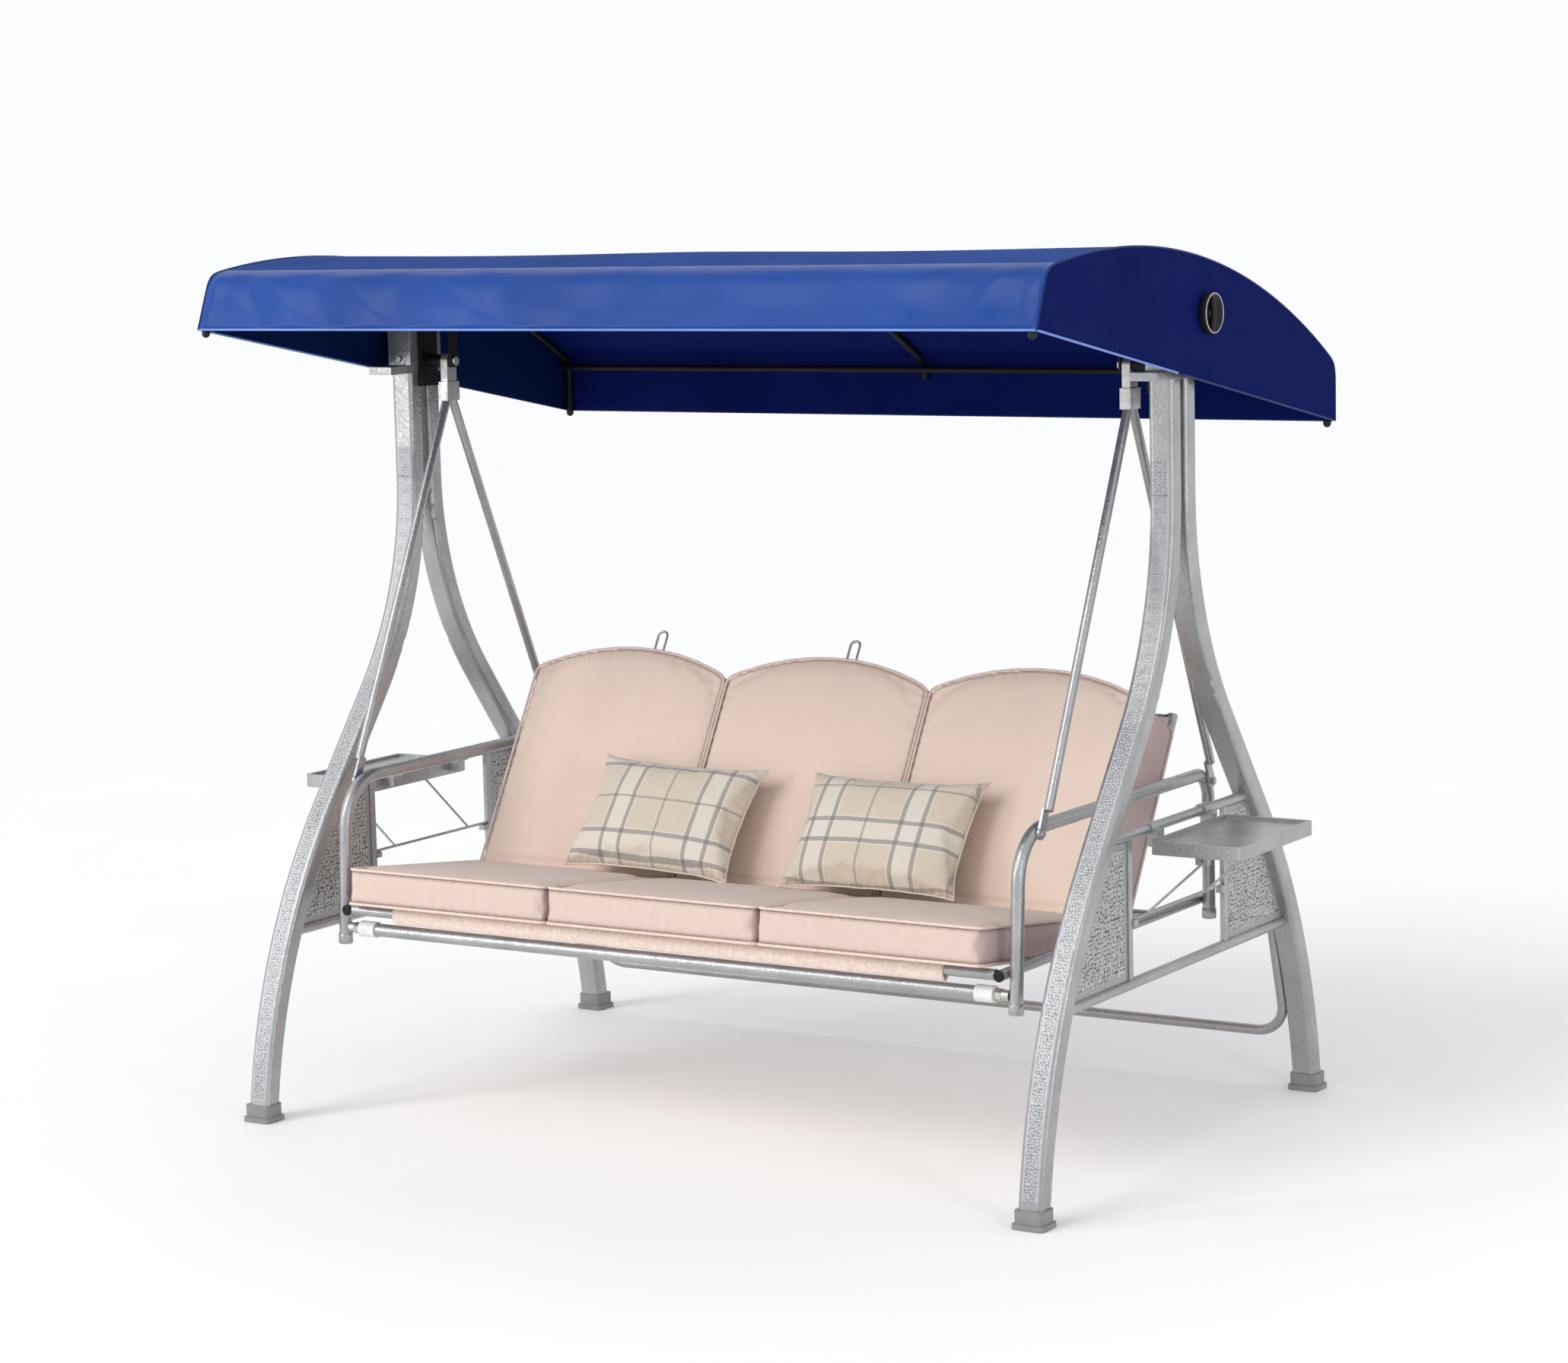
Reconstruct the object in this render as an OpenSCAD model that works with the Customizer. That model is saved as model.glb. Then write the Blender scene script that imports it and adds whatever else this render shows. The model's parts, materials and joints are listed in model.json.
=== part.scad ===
// Three-seat garden glider swing: two curved A-frames, a bench that hangs on four rods,
// a tilting fabric canopy and two side tables that fold down.
// Millimetres. +X is the sitter's right seen from the front, -Y is the front, +Z is up.
// The origin is on the floor under the middle of the stand.

/* [Stand] */
// Half distance between the two end frames, at the middle of the legs
leg_x = 930; // [880:1:1000]
// Width of a leg tube along X
leg_w = 54; // [46:1:60]
// Depth of a leg tube across its curve
leg_d = 42; // [38:1:46]
// Wall of a leg tube
leg_wall = 2.5; // [1.5:0.5:4]
// Corner radius of a leg tube
leg_corner = 10; // [6:1:14]
// Half distance between the front and the rear feet
foot_y = 622; // [600:1:640]
// Lean of a leg at its foot, in degrees
foot_lean = 5.7; // [4:0.1:8]
// Lean of a leg's straight middle stretch, in degrees
mid_lean = 37.5; // [36:0.5:39]
// Radius of the lower bend of a leg
low_bend_r = 1256; // [1200:1:1300]
// Length of the straight middle stretch
mid_len = 300; // [290:1:320]
// Radius of the upper bend of a leg
top_bend_r = 746; // [700:1:780]
// Height of the column top
column_top = 1705; // [1690:1:1760]
// Height of the lower side brace
brace_z = 387; // [370:1:420]
// Radius of the lower side brace
brace_r = 11; // [9:1:13]
// Distance of each stile from the middle
stile_y = 215; // [205:1:240]

/* [Side tables] */
// Height of the bar that a table turns on
bar_z = 683; // [670:1:700]
// Radius of that bar
bar_r = 10; // [8:1:12]
// Width of a table top along X
tray_w = 195; // [150:1:240]
// Length of a table top along Y
tray_l = 344; // [280:1:350]
// Height of the table top's rim
tray_z = 668; // [664:1:670]
// Depth of the table top's skirt
tray_skirt = 28; // [22:1:30]
// Radius of the prop wire
prop_r = 3; // [2.5:0.5:4]

/* [Seat] */
// Height of the pins that the bench hangs on
swing_z = 1585; // [1570:1:1600]
// Distance of the hanger rods from the middle
hang_x = 838; // [820:1:850]
// Radius of a hanger rod
rod_r = 9.5; // [7:0.5:11]
// Radius of the arm frame tube
arm_r = 13.5; // [11:0.5:15]
// Height of the arm rest's centre line
arm_z = 715; // [690:1:740]
// Bend radius at the front of an arm rest
arm_bend_r = 105; // [90:1:120]
// Width of the whole row of cushions
cushion_row_w = 1534; // [1450:1:1545]
// Thickness of a seat cushion
seat_t = 79; // [60:1:90]
// Thickness of a back cushion
back_t = 160; // [110:1:170]
// Lean of the back from upright, in degrees
back_lean = 30.5; // [26:0.5:33]
// Fall of the seat towards the back, in degrees
seat_fall = 7.2; // [5:0.2:9]
// Length of a back cushion up its face, at its sides
back_len = 473; // [420:1:520]
// Rise of the arched top of a back cushion
back_arch = 58; // [30:1:80]

/* [Canopy] */
// Length of the canopy
canopy_len = 1970; // [1966:1:2060]
// Depth of the canopy at its hem
canopy_depth = 1344; // [1250:1:1440]
// Height of the canopy's hanging edge
valance_h = 118; // [100:1:140]
// Rise of the canopy's arched top
arch_rise = 119; // [100:1:135]
// Tilt of the canopy at rest, front edge up, in degrees
canopy_tilt = 10.7; // [8:0.1:14]
// Thickness of the canopy fabric
cover_t = 3; // [2:0.5:4]
// Radius of a canopy rib
rib_r = 7; // [6:0.5:8]
// Radius of a tilt knob
knob_r = 42; // [32:1:50]

/* [Hidden] */
$fn = 64;

// Clearances
touch_gap = 0.3;
run_gap = 0.05;
far = 3000;

// Joints between lengths of tube: a hairline between the ends and a plug inside them
weld_gap = 0.05;
plug_half = 3;

// Colours
steel = [0.55, 0.56, 0.57];
dark = [0.05, 0.05, 0.06];
zinc = [0.8, 0.8, 0.8];
white = [0.93, 0.92, 0.88];
blue = [0.07, 0.16, 0.55];
peach = [0.88, 0.77, 0.68];
plaid = [0.9, 0.86, 0.76];

// Leg curve, in the plane of an end frame, from the foot up
low_cy = foot_y - low_bend_r * cos(foot_lean);
low_cz = -low_bend_r * sin(foot_lean);
mid_y = low_cy + low_bend_r * cos(mid_lean);
mid_z = low_cz + low_bend_r * sin(mid_lean);
top_cy = mid_y - mid_len * sin(mid_lean) + top_bend_r * cos(mid_lean);
top_cz = mid_z + mid_len * cos(mid_lean) + top_bend_r * sin(mid_lean);
column_y = top_cy - top_bend_r;
leg_outer_x = leg_x + leg_w / 2;
leg_inner_x = leg_x - leg_w / 2;

// Foot cap
cap_floor = 6;
cap_h = 36;
cap_wall = 4;
cap_flange = 4;

// Column head
head_wall = 3;
head_z = 1560;
head_cap = 7;
head_y = column_y + leg_d / 2 + head_wall;
head_ledge = 70;
head_ledge_t = 17;
head_inner_x = leg_inner_x - head_wall;
head_outer_x = leg_outer_x + head_wall;
bolt_r = 4;
bolt_head_r = 7.5;
bolt_head_h = 5;
column_bolt_z = [head_z + 32, column_top - 35];

// Top beam
beam_h = 40;
beam_w = 40;
beam_z = column_top - 23;
beam_wall = 2.5;

// Side frame
stile_w = 16;
stile_t = 10;
mesh_t = 3;

// Rear stretcher
stretch_r = 11;
stretch_bend = 70;
stretch_lean = 16;
stretch_top_y = 530;
stretch_top_z = 362;
stretch_drop = 250;
stretch_x = leg_inner_x - stretch_r;
stretch_bolt_r = 5;

// Hanger bracket, pin and eye
pin_r = 6;
hanger_plate_t = 12;
hanger_plate_w = 56;
hanger_plate_low = swing_z - 55;
hanger_plate_high = swing_z + 70;
hanger_boss_r = 14;
link_t = 5;
link_w = 28;
eye_t = 18;
eye_r = 17;
eye_block_t = 24;
eye_block_w = 44;
eye_block_top = swing_z - 45;
eye_block_low = swing_z - 87;
link_x = hang_x - eye_t / 2 - link_t - 4;

// Rods
rod_top_y = rod_r / cos(30) + touch_gap / 2;
rod_flat_t = 6;
rod_flat_l = 46;
rod_flat_x = hang_x - rod_r - 0.5;
rod_flat_half = rod_r + 1.5;
rod_eye_r = rod_r + 3;
arm_x = rod_flat_x - arm_r;

// Arm frame, in its own plane
arm_wall = 2;
arm_front_y = -466;
arm_low_z = 366;
arm_front_lean = 3.5;
arm_bend_z = arm_z - arm_bend_r * (1 - sin(arm_front_lean));
arm_bend_y = arm_front_y + (arm_bend_z - arm_low_z) * tan(arm_front_lean);
arm_cy = arm_bend_y + arm_bend_r * cos(arm_front_lean);
arm_cz = arm_z - arm_bend_r;
arm_rear_y = 385;
arm_rear_bend = 55;
arm_post_low = 405;
front_bolt_a = 113;
front_bolt = [arm_cy + arm_bend_r * cos(front_bolt_a), arm_cz + arm_bend_r * sin(front_bolt_a)];
rear_bolt_a = 45;
rear_bolt = [arm_rear_y - arm_rear_bend + arm_rear_bend * cos(rear_bolt_a),
             arm_z - arm_rear_bend + arm_rear_bend * sin(rear_bolt_a)];

// Seat frame
rail_r = 11;
side_rail_x = arm_x - arm_r - rail_r;
side_rail_z = 443;
seat_tube_y = -478;
seat_rear_tube_y = 176;
front_rail_z = 401;
front_rail_y = arm_front_y + (front_rail_z - arm_low_z) * tan(arm_front_lean);
front_rail_r = 14;
front_rail_end = arm_x - 70;
sleeve_r = 17;
sleeve_in = 16;
sleeve_out = 25;
nut_r = 13;
nut_t = 16;
washer_r = 11;

// Cushions
seat_front_y = -511;
seat_front_z = 541;
crease_y = -45;
crease_z = seat_front_z - (crease_y - seat_front_y) * tan(seat_fall);
section_w = cushion_row_w / 3;
section_gap = 1;
back_floor_z = 455;
sling_t = 3;
sling_half = 668;
back_tube_n = back_t + sling_t + rail_r;
back_tube_x = 745;
back_tube_top = 500;
back_tube_low = 52;
hook_gap = 24;
hook_h = 130;
hook_offset = -62;
hook_r = 3;

// Pillows
pillow_w = 425;
pillow_h = 285;
pillow_t = 96;
pillow_edge = 8;
pillow_x = [-262, 280];
pillow_drop = 19;

// Canopy, in its own plane: u runs from front to rear, v runs up, both from the tilt pivot
pivot_y = 36;
pivot_z = 1685;
canopy_mid = -12;
hem_v = -131;
canopy_half = canopy_depth / 2;
valance_in = 22;
shoulder = canopy_half - valance_in;
shoulder_v = hem_v + valance_h;
arch_r = (shoulder * shoulder + arch_rise * arch_rise) / (2 * arch_rise);
arch_cv = shoulder_v + arch_rise - arch_r;
end_t = 4;
end_x = canopy_len / 2;
rib_clear = 0.5;
rib_inset = cover_t + rib_clear + rib_r;
rib_arc_r = arch_r - rib_inset;
rib_x = end_x - end_t - 2.5 - rib_r;
rib_bend = 60;
rib_wall = 1.2;
wall_n = [valance_h, valance_in] / norm([valance_h, valance_in]);
wall_d = wall_n[0] * canopy_half + wall_n[1] * hem_v - rib_inset;
wall_a = atan2(wall_n[1], wall_n[0]);
rib_a = asin((wall_d - rib_bend - arch_cv * wall_n[1]) / (rib_arc_r - rib_bend)) - wall_a;
rib_bc = [(rib_arc_r - rib_bend) * sin(rib_a), arch_cv + (rib_arc_r - rib_bend) * cos(rib_a)];
rib_end = [rib_bc[0] + rib_bend * wall_n[0], rib_bc[1] + rib_bend * wall_n[1]];
rib_leg = (rib_end[1] - hem_v) / wall_n[0] + 2;
tip_r = rib_r + 1.5;
tip_l = 14;
bar_a = 50;
bar_u = rib_bc[0] + (rib_bend - 2 * rib_r) * sin(bar_a);
bar_v = rib_bc[1] + (rib_bend - 2 * rib_r) * cos(bar_a);
plate_t = 4;
plate_x = rib_x;
plate_half = 26;
knob_t = 22;
knob_hub_r = 8;
knob_hole_r = 10;
knob_in = 20;
knob_gap = 1.8;
stud_reach = 14;
flutes = 12;
flute_r = 6;
bush_r = 14;

// Table, in the plane across the end frame
tray_in_x = leg_outer_x - 2 + 0.3;
tray_r = 14;
tray_wall = 3;
tray_floor = 4;
tray_recess = 6;
tray_rim = 9;
tray_in = 6;
lug_y = 120;
lug_w = 24;
lug_r = 13.5;
lug_h = 20;
prop_x = leg_x + 130;
prop_z = tray_z - tray_skirt - 10;
prop_foot_z = 515;
prop_arm_r = prop_r - 0.4;
prop_ear_y = 150;
prop_ear_w = 14;
prop_ear_half = 13;
prop_arm_y = 136;
prop_half = 202;
hook_w = 17;
hook_t = 12;
hook_lip = 3;
drain_r = 5;

// ---- Helpers ----

// Puts a left part and a right part from one description of the right one
module side(s) {
    if (s > 0) children();
    else mirror([1, 0, 0]) children();
}

// A pair of mirrored copies
module both() {
    children();
    mirror([1, 0, 0]) children();
}

// Turns a drawing so that its x runs along Y, its y along Z and its depth along X
module across() {
    rotate([90, 0, 90]) children();
}

// Rounded rectangle of exact arcs
module round_rect(w, h, r) {
    square([w - 2 * r, h], center = true);
    square([w, h - 2 * r], center = true);
    for (i = [-1, 1], j = [-1, 1])
        translate([i * (w / 2 - r), j * (h / 2 - r)]) circle(r);
}

// Section of a tube
module ring(r, wall) {
    difference() {
        circle(r);
        circle(r - wall);
    }
}

// Tube along X from one x to another
module tube_x(x0, x1, r, wall = 2) {
    translate([x0, 0, 0]) rotate([0, 90, 0]) linear_extrude(x1 - x0) ring(r, wall);
}

// Rod along X
module rod_x(x0, x1, r) {
    translate([x0, 0, 0]) rotate([0, 90, 0]) cylinder(h = x1 - x0, r = r);
}

// Rod along Y
module rod_y(y0, y1, r) {
    translate([0, y0, 0]) rotate([-90, 0, 0]) cylinder(h = y1 - y0, r = r);
}

// Part of a bend in the Y-Z plane, swept from angle a0 to a1 above the Y axis, with
// each end drawn back by gap
module bend_yz(cy, cz, r, a0, a1, gap = 0) {
    trim = gap / r * 180 / PI;
    translate([0, cy, cz]) across() rotate([0, 0, a0 + trim])
        rotate_extrude(angle = a1 - a0 - 2 * trim, $fn = 180) translate([r, 0]) children();
}

// Short plug inside a tube joint, with its axis in the Y-Z plane
module plug(y, z, lean) {
    translate([0, y, z]) rotate([lean, 0, 0]) translate([0, 0, -plug_half])
        linear_extrude(2 * plug_half) children();
}

// Hexagon bolt head with its axis along X
module hex_x(x0, x1, r) {
    translate([x0, 0, 0]) rotate([0, 90, 0]) cylinder(h = x1 - x0, r = r, $fn = 6);
}

// Places children in the plane of the back: y is into the back, z up its face
module back_plane() {
    translate([0, crease_y, crease_z]) rotate([-back_lean, 0, 0]) children();
}

// Places children on the top plane of the seat: y towards the rear, z up from the top
module seat_plane() {
    translate([0, seat_front_y, seat_front_z]) rotate([-seat_fall, 0, 0]) children();
}

// Places children in the canopy's own plane, turned about the tilt pivot
module canopy_plane() {
    translate([0, pivot_y, pivot_z]) rotate([-canopy_tilt, 0, 0]) children();
}

// ---- Stand ----

module leg_section(wall) {
    difference() {
        round_rect(leg_d, leg_w, leg_corner);
        if (wall > 0)
            round_rect(leg_d - 2 * wall, leg_w - 2 * wall, leg_corner - wall);
    }
}

// The curve of a rear right leg; wall 0 gives it solid
module leg_curve(wall, top) {
    gap = wall > 0 ? weld_gap : 0;
    translate([leg_x, 0, 0]) {
        bend_yz(low_cy, low_cz, low_bend_r, foot_lean, mid_lean, gap) leg_section(wall);
        translate([0, mid_y, mid_z]) rotate([mid_lean, 0, 0])
            linear_extrude(mid_len) rotate([0, 0, 90]) leg_section(wall);
        bend_yz(top_cy, top_cz, top_bend_r, 180, 180 + mid_lean, gap) leg_section(wall);
        translate([0, column_y, top_cz])
            linear_extrude(top - top_cz) rotate([0, 0, 90]) leg_section(wall);
    }
}

// The plugs at a leg's three joints
module leg_plugs() {
    upper = [mid_y - mid_len * sin(mid_lean), mid_z + mid_len * cos(mid_lean)];
    for (joint = [[mid_y, mid_z, mid_lean], [upper[0], upper[1], mid_lean],
                  [column_y, top_cz, 0]])
        translate([leg_x, 0, 0]) plug(joint[0], joint[1], joint[2]) rotate([0, 0, 90])
            round_rect(leg_d - leg_wall, leg_w - leg_wall, leg_corner - leg_wall / 2);
}

// Front and rear: s is -1 at the front
module leg_place(s) {
    if (s > 0) children();
    else mirror([0, 1, 0]) children();
}

module leg(s) {
    color(steel) difference() {
        leg_place(s) {
            leg_curve(leg_wall, column_top);
            leg_plugs();
        }
        translate([0, 0, -far / 2 + cap_floor]) cube([far, far, far], center = true);
        if (s > 0) {
            translate([0, pivot_y, pivot_z]) rod_x(leg_x, far, bolt_r + run_gap);
            stretcher_hole();
        }
        if (s < 0) column_bolt_holes();
    }
}

module solid_legs() {
    for (s = [-1, 1]) leg_place(s) leg_curve(0, column_top);
}

module foot_cap(s) {
    leg_place(s) difference() {
        translate([leg_x, foot_y - cap_floor * tan(foot_lean), 0]) {
            linear_extrude(cap_h)
                round_rect(leg_w + 2 * cap_wall, leg_d + 3 * cap_wall, leg_corner);
            linear_extrude(cap_wall + cap_floor)
                round_rect(leg_w + 2 * (cap_wall + cap_flange),
                           leg_d + 3 * cap_wall + 2 * cap_flange, leg_corner);
        }
        difference() {
            leg_curve(0, column_top);
            translate([0, 0, -far / 2 + cap_floor]) cube([far, far, far], center = true);
        }
    }
}

module foot_caps() {
    color(dark) both() for (s = [-1, 1]) foot_cap(s);
}

// Bolts that clamp the head to the front leg
module column_bolt_places() {
    for (z = column_bolt_z) translate([leg_x, 0, z]) children();
}

module column_bolt_holes() {
    column_bolt_places() rod_y(-head_y - 1, -column_y, bolt_r + run_gap);
}

module column_bolts() {
    both() column_bolt_places() {
        rod_y(-head_y, -column_y - leg_d / 4, bolt_r);
        translate([0, -head_y, 0]) rotate([90, 0, 0])
            cylinder(h = bolt_head_h, r = bolt_head_r, $fn = 6);
    }
}

module column_head() {
    color(steel) difference() {
        union() {
            translate([head_inner_x, -head_y, head_z])
                cube([head_outer_x - head_inner_x, 2 * head_y, column_top + head_cap - head_z]);
            translate([head_inner_x, -head_y - head_ledge, head_z])
                cube([head_outer_x - head_inner_x, head_ledge, head_ledge_t]);
        }
        solid_legs();
        translate([0, pivot_y, pivot_z]) rod_x(leg_x, far, bolt_r + run_gap);
        column_bolt_holes();
    }
}

module top_beam() {
    color(steel) translate([-head_inner_x, 0, beam_z]) across()
        linear_extrude(2 * head_inner_x) difference() {
            round_rect(beam_w, beam_h, 4);
            round_rect(beam_w - 2 * beam_wall, beam_h - 2 * beam_wall, 2);
        }
}

// A bar along Y between the front and the rear leg
module between_legs(z, r) {
    difference() {
        translate([leg_x, -foot_y, z]) rotate([-90, 0, 0]) linear_extrude(2 * foot_y) ring(r, 2);
        solid_legs();
        for (s = [-1, 1]) leg_place(s) outside_leg(z);
    }
}

// Everything beyond the rear leg at a given height
module outside_leg(z) {
    translate([leg_x - leg_w, leg_y(z), z - leg_w]) cube([2 * leg_w, far, 2 * leg_w]);
}

// Distance of a leg's centre line from the middle at height z
function leg_y(z) = z < mid_z
    ? low_cy + sqrt(low_bend_r * low_bend_r - (z - low_cz) * (z - low_cz))
    : mid_y - (z - mid_z) * tan(mid_lean);

module lower_braces() {
    color(steel) both() between_legs(brace_z, brace_r);
}

module table_bar() {
    color(steel) between_legs(bar_z, bar_r);
}

module stiles() {
    color(steel) both() for (s = [-1, 1])
        translate([leg_x, s * stile_y, 0]) difference() {
            translate([-stile_t / 2, -stile_w / 2, brace_z])
                cube([stile_t, stile_w, bar_z - brace_z]);
            for (bar = [[brace_z, brace_r], [bar_z, bar_r]])
                translate([0, 0, bar[0]]) rod_y(-stile_w, stile_w, bar[1]);
        }
}

// Pebbled infill plate between a leg and its stile
module mesh_panels() {
    low = brace_z + brace_r;
    high = bar_z - bar_r;
    color(steel) both() for (s = [-1, 1]) leg_place(s) difference() {
        translate([leg_x - mesh_t / 2, stile_y + stile_w / 2, low])
            cube([mesh_t, leg_y(low) - stile_y - stile_w / 2, high - low]);
        leg_curve(0, column_top);
        for (z = [low : (high - low) / 6 : high])
            translate([leg_x - leg_w, leg_y(z), low - 1])
                cube([2 * leg_w, far, z - low + (high - low) / 6]);
    }
}

// Ledges that carry the foot of a table's prop
module prop_hooks() {
    wire_low = prop_foot_z - prop_r - touch_gap;
    color(steel) both() for (s = [-1, 1])
        translate([leg_x, s * (stile_y - stile_w / 2 - hook_w / 2), wire_low - hook_t]) {
            translate([-hook_t / 2, -hook_w / 2, 0]) cube([hook_t + hook_lip, hook_w, hook_t]);
            translate([prop_r + touch_gap, -hook_w / 2, 0])
                cube([hook_t / 2 + hook_lip - prop_r - touch_gap, hook_w, hook_t + prop_r]);
        }
}

module stretcher_plane() {
    translate([0, stretch_top_y, stretch_top_z]) rotate([stretch_lean, 0, 0]) children();
}

module stretcher_hole() {
    translate([0, stretch_top_y, stretch_top_z])
        rod_x(leg_inner_x - 1, leg_x, stretch_bolt_r + run_gap);
}

module rear_stretcher() {
    color(steel) difference() {
        stretcher_plane() {
            both() {
                translate([stretch_x, 0, -stretch_drop + stretch_bend])
                    linear_extrude(stretch_drop - stretch_bend + 2 * stretch_r) ring(stretch_r, 2);
                translate([stretch_x - stretch_bend, 0, -stretch_drop + stretch_bend])
                    rotate([90, 0, 0]) rotate([0, 0, 270])
                        rotate_extrude(angle = 90) translate([stretch_bend, 0]) ring(stretch_r, 2);
            }
            translate([0, 0, -stretch_drop])
                tube_x(-stretch_x + stretch_bend, stretch_x - stretch_bend, stretch_r);
        }
        translate([0, stretch_top_y, stretch_top_z]) rod_x(-far, far, stretch_bolt_r + run_gap);
    }
}

module stretcher_bolts() {
    both() translate([0, stretch_top_y, stretch_top_z]) {
        rod_x(stretch_x - stretch_r, leg_inner_x + 3 * leg_wall, stretch_bolt_r);
        hex_x(stretch_x - stretch_r - bolt_head_h, stretch_x - stretch_r, bolt_head_r + 2);
    }
}

// Threaded studs that the canopy tilts on, each with a collar that its knob bears on
module tilt_studs() {
    both() translate([0, pivot_y, pivot_z]) {
        rod_x(leg_outer_x - knob_in, end_x + stud_reach, bolt_r);
        rod_x(plate_x + plate_t / 2 + touch_gap, end_x + knob_gap - touch_gap, knob_hub_r);
    }
}

// The bolts that hold the stand together, and the studs
module frame_bolts() {
    color(zinc) {
        column_bolts();
        stretcher_bolts();
        tilt_studs();
    }
}

// Plate on the column and link on the beam that hold a swing pin between them
module hanger_brackets() {
    plate_in = head_inner_x - hanger_plate_t;
    both() {
        color(dark) difference() {
            union() {
                translate([plate_in, -hanger_plate_w / 2, hanger_plate_low])
                    cube([hanger_plate_t, hanger_plate_w, hanger_plate_high - hanger_plate_low]);
                translate([0, 0, swing_z])
                    rod_x(hang_x + eye_t / 2 + touch_gap, plate_in, hanger_boss_r);
            }
            translate([0, 0, swing_z]) rod_x(0, far, pin_r + run_gap);
        }
        color(zinc) difference() {
            translate([link_x, -link_w / 2, swing_z - link_w / 2])
                cube([link_t, link_w, beam_z - beam_h / 2 - swing_z + link_w / 2]);
            translate([0, 0, swing_z]) rod_x(0, far, pin_r + run_gap);
        }
    }
}

module hanger_pins() {
    color(zinc) both() translate([0, 0, swing_z]) {
        rod_x(link_x, head_inner_x - touch_gap, pin_r);
        hex_x(link_x - bolt_head_h, link_x, 1.8 * pin_r);
    }
}

// Spacer between the column head and the canopy's pivot plate
module tilt_bushes() {
    color(dark) both() translate([0, pivot_y, pivot_z])
        tube_x(head_outer_x, plate_x - plate_t / 2 - touch_gap, bush_r, bush_r - bolt_r - run_gap);
}

// ---- Bench ----

module hanger_eye() {
    color(zinc) difference() {
        union() {
            translate([0, 0, swing_z]) rod_x(hang_x - eye_t / 2, hang_x + eye_t / 2, eye_r);
            translate([hang_x - eye_t / 2, -eye_r, eye_block_top])
                cube([eye_t, 2 * eye_r, swing_z - eye_block_top]);
            translate([hang_x - eye_block_t / 2, -eye_block_w / 2, eye_block_low])
                cube([eye_block_t, eye_block_w, eye_block_top - eye_block_low]);
        }
        translate([0, 0, swing_z]) rod_x(0, far, pin_r + run_gap);
    }
}

// A hanger rod from under the eye to a bolt on the arm frame, with a flattened end
module hanger_rod(s, bolt) {
    run = [bolt[0] - s * rod_top_y, eye_block_low - bolt[1]];
    lean = atan2(run[0], run[1]);
    color(steel) difference() {
        union() {
            translate([hang_x, bolt[0], bolt[1]]) rotate([lean, 0, 0]) {
                translate([0, 0, rod_flat_l]) cylinder(h = norm(run), r = rod_r);
                translate([rod_flat_x - hang_x, -rod_flat_half, rod_eye_r / 2])
                    cube([rod_flat_t, 2 * rod_flat_half, rod_flat_l]);
            }
            translate([0, bolt[0], bolt[1]])
                rod_x(rod_flat_x, rod_flat_x + rod_flat_t, rod_eye_r);
        }
        translate([0, 0, eye_block_low + far / 2]) cube([far, far, far], center = true);
        translate([0, bolt[0], bolt[1]]) rod_x(0, far, bolt_r + run_gap);
    }
}

module rod_bolts() {
    color(zinc) both() for (bolt = [front_bolt, rear_bolt]) translate([0, bolt[0], bolt[1]]) {
        rod_x(arm_x, rod_flat_x + rod_flat_t, bolt_r);
        hex_x(rod_flat_x + rod_flat_t, rod_flat_x + rod_flat_t + bolt_head_h, bolt_head_r);
    }
}

// Bent tube that is the front post, the arm rest and the rear post
module arm_frame() {
    color(steel) difference() {
        translate([arm_x, 0, 0]) {
            translate([0, arm_front_y, arm_low_z]) rotate([-arm_front_lean, 0, 0])
                linear_extrude((arm_bend_z - arm_low_z) / cos(arm_front_lean))
                    ring(arm_r, arm_wall);
            bend_yz(arm_cy, arm_cz, arm_bend_r, 90, 180 - arm_front_lean) ring(arm_r, arm_wall);
            translate([0, arm_cy, arm_z]) rotate([-90, 0, 0])
                linear_extrude(arm_rear_y - arm_rear_bend - arm_cy) ring(arm_r, arm_wall);
            bend_yz(arm_rear_y - arm_rear_bend, arm_z - arm_rear_bend, arm_rear_bend, 0, 90)
                ring(arm_r, arm_wall);
            translate([0, arm_rear_y, arm_post_low])
                linear_extrude(arm_z - arm_rear_bend - arm_post_low) ring(arm_r, arm_wall);
        }
        for (bolt = [front_bolt, rear_bolt])
            translate([0, bolt[0], bolt[1]]) rod_x(arm_x, far, bolt_r + run_gap);
    }
}

module front_rail() {
    color(steel) translate([0, front_rail_y, front_rail_z])
        tube_x(-front_rail_end, front_rail_end, front_rail_r);
}

module rail_sleeves() {
    color(white) both() translate([0, front_rail_y, front_rail_z]) difference() {
        rod_x(front_rail_end - sleeve_in, front_rail_end + sleeve_out, sleeve_r);
        rod_x(front_rail_end - sleeve_in - 1, front_rail_end, front_rail_r);
    }
}

module rail_nuts() {
    start = front_rail_end + sleeve_out;
    both() translate([0, front_rail_y, front_rail_z]) {
        color(dark) hex_x(start, start + nut_t, nut_r);
        color(white) rod_x(start + nut_t, arm_x - arm_r, washer_r);
    }
}

module seat_side_rails() {
    color(steel) both() translate([side_rail_x, seat_tube_y - rail_r, side_rail_z])
        rotate([-90, 0, 0])
            linear_extrude(arm_rear_y + 2 * rail_r - seat_tube_y) ring(rail_r, 2);
}

module seat_cross_tubes() {
    color(steel) for (y = [seat_tube_y, seat_rear_tube_y])
        translate([0, y, side_rail_z]) tube_x(-side_rail_x + rail_r, side_rail_x - rail_r, rail_r);
}

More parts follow.
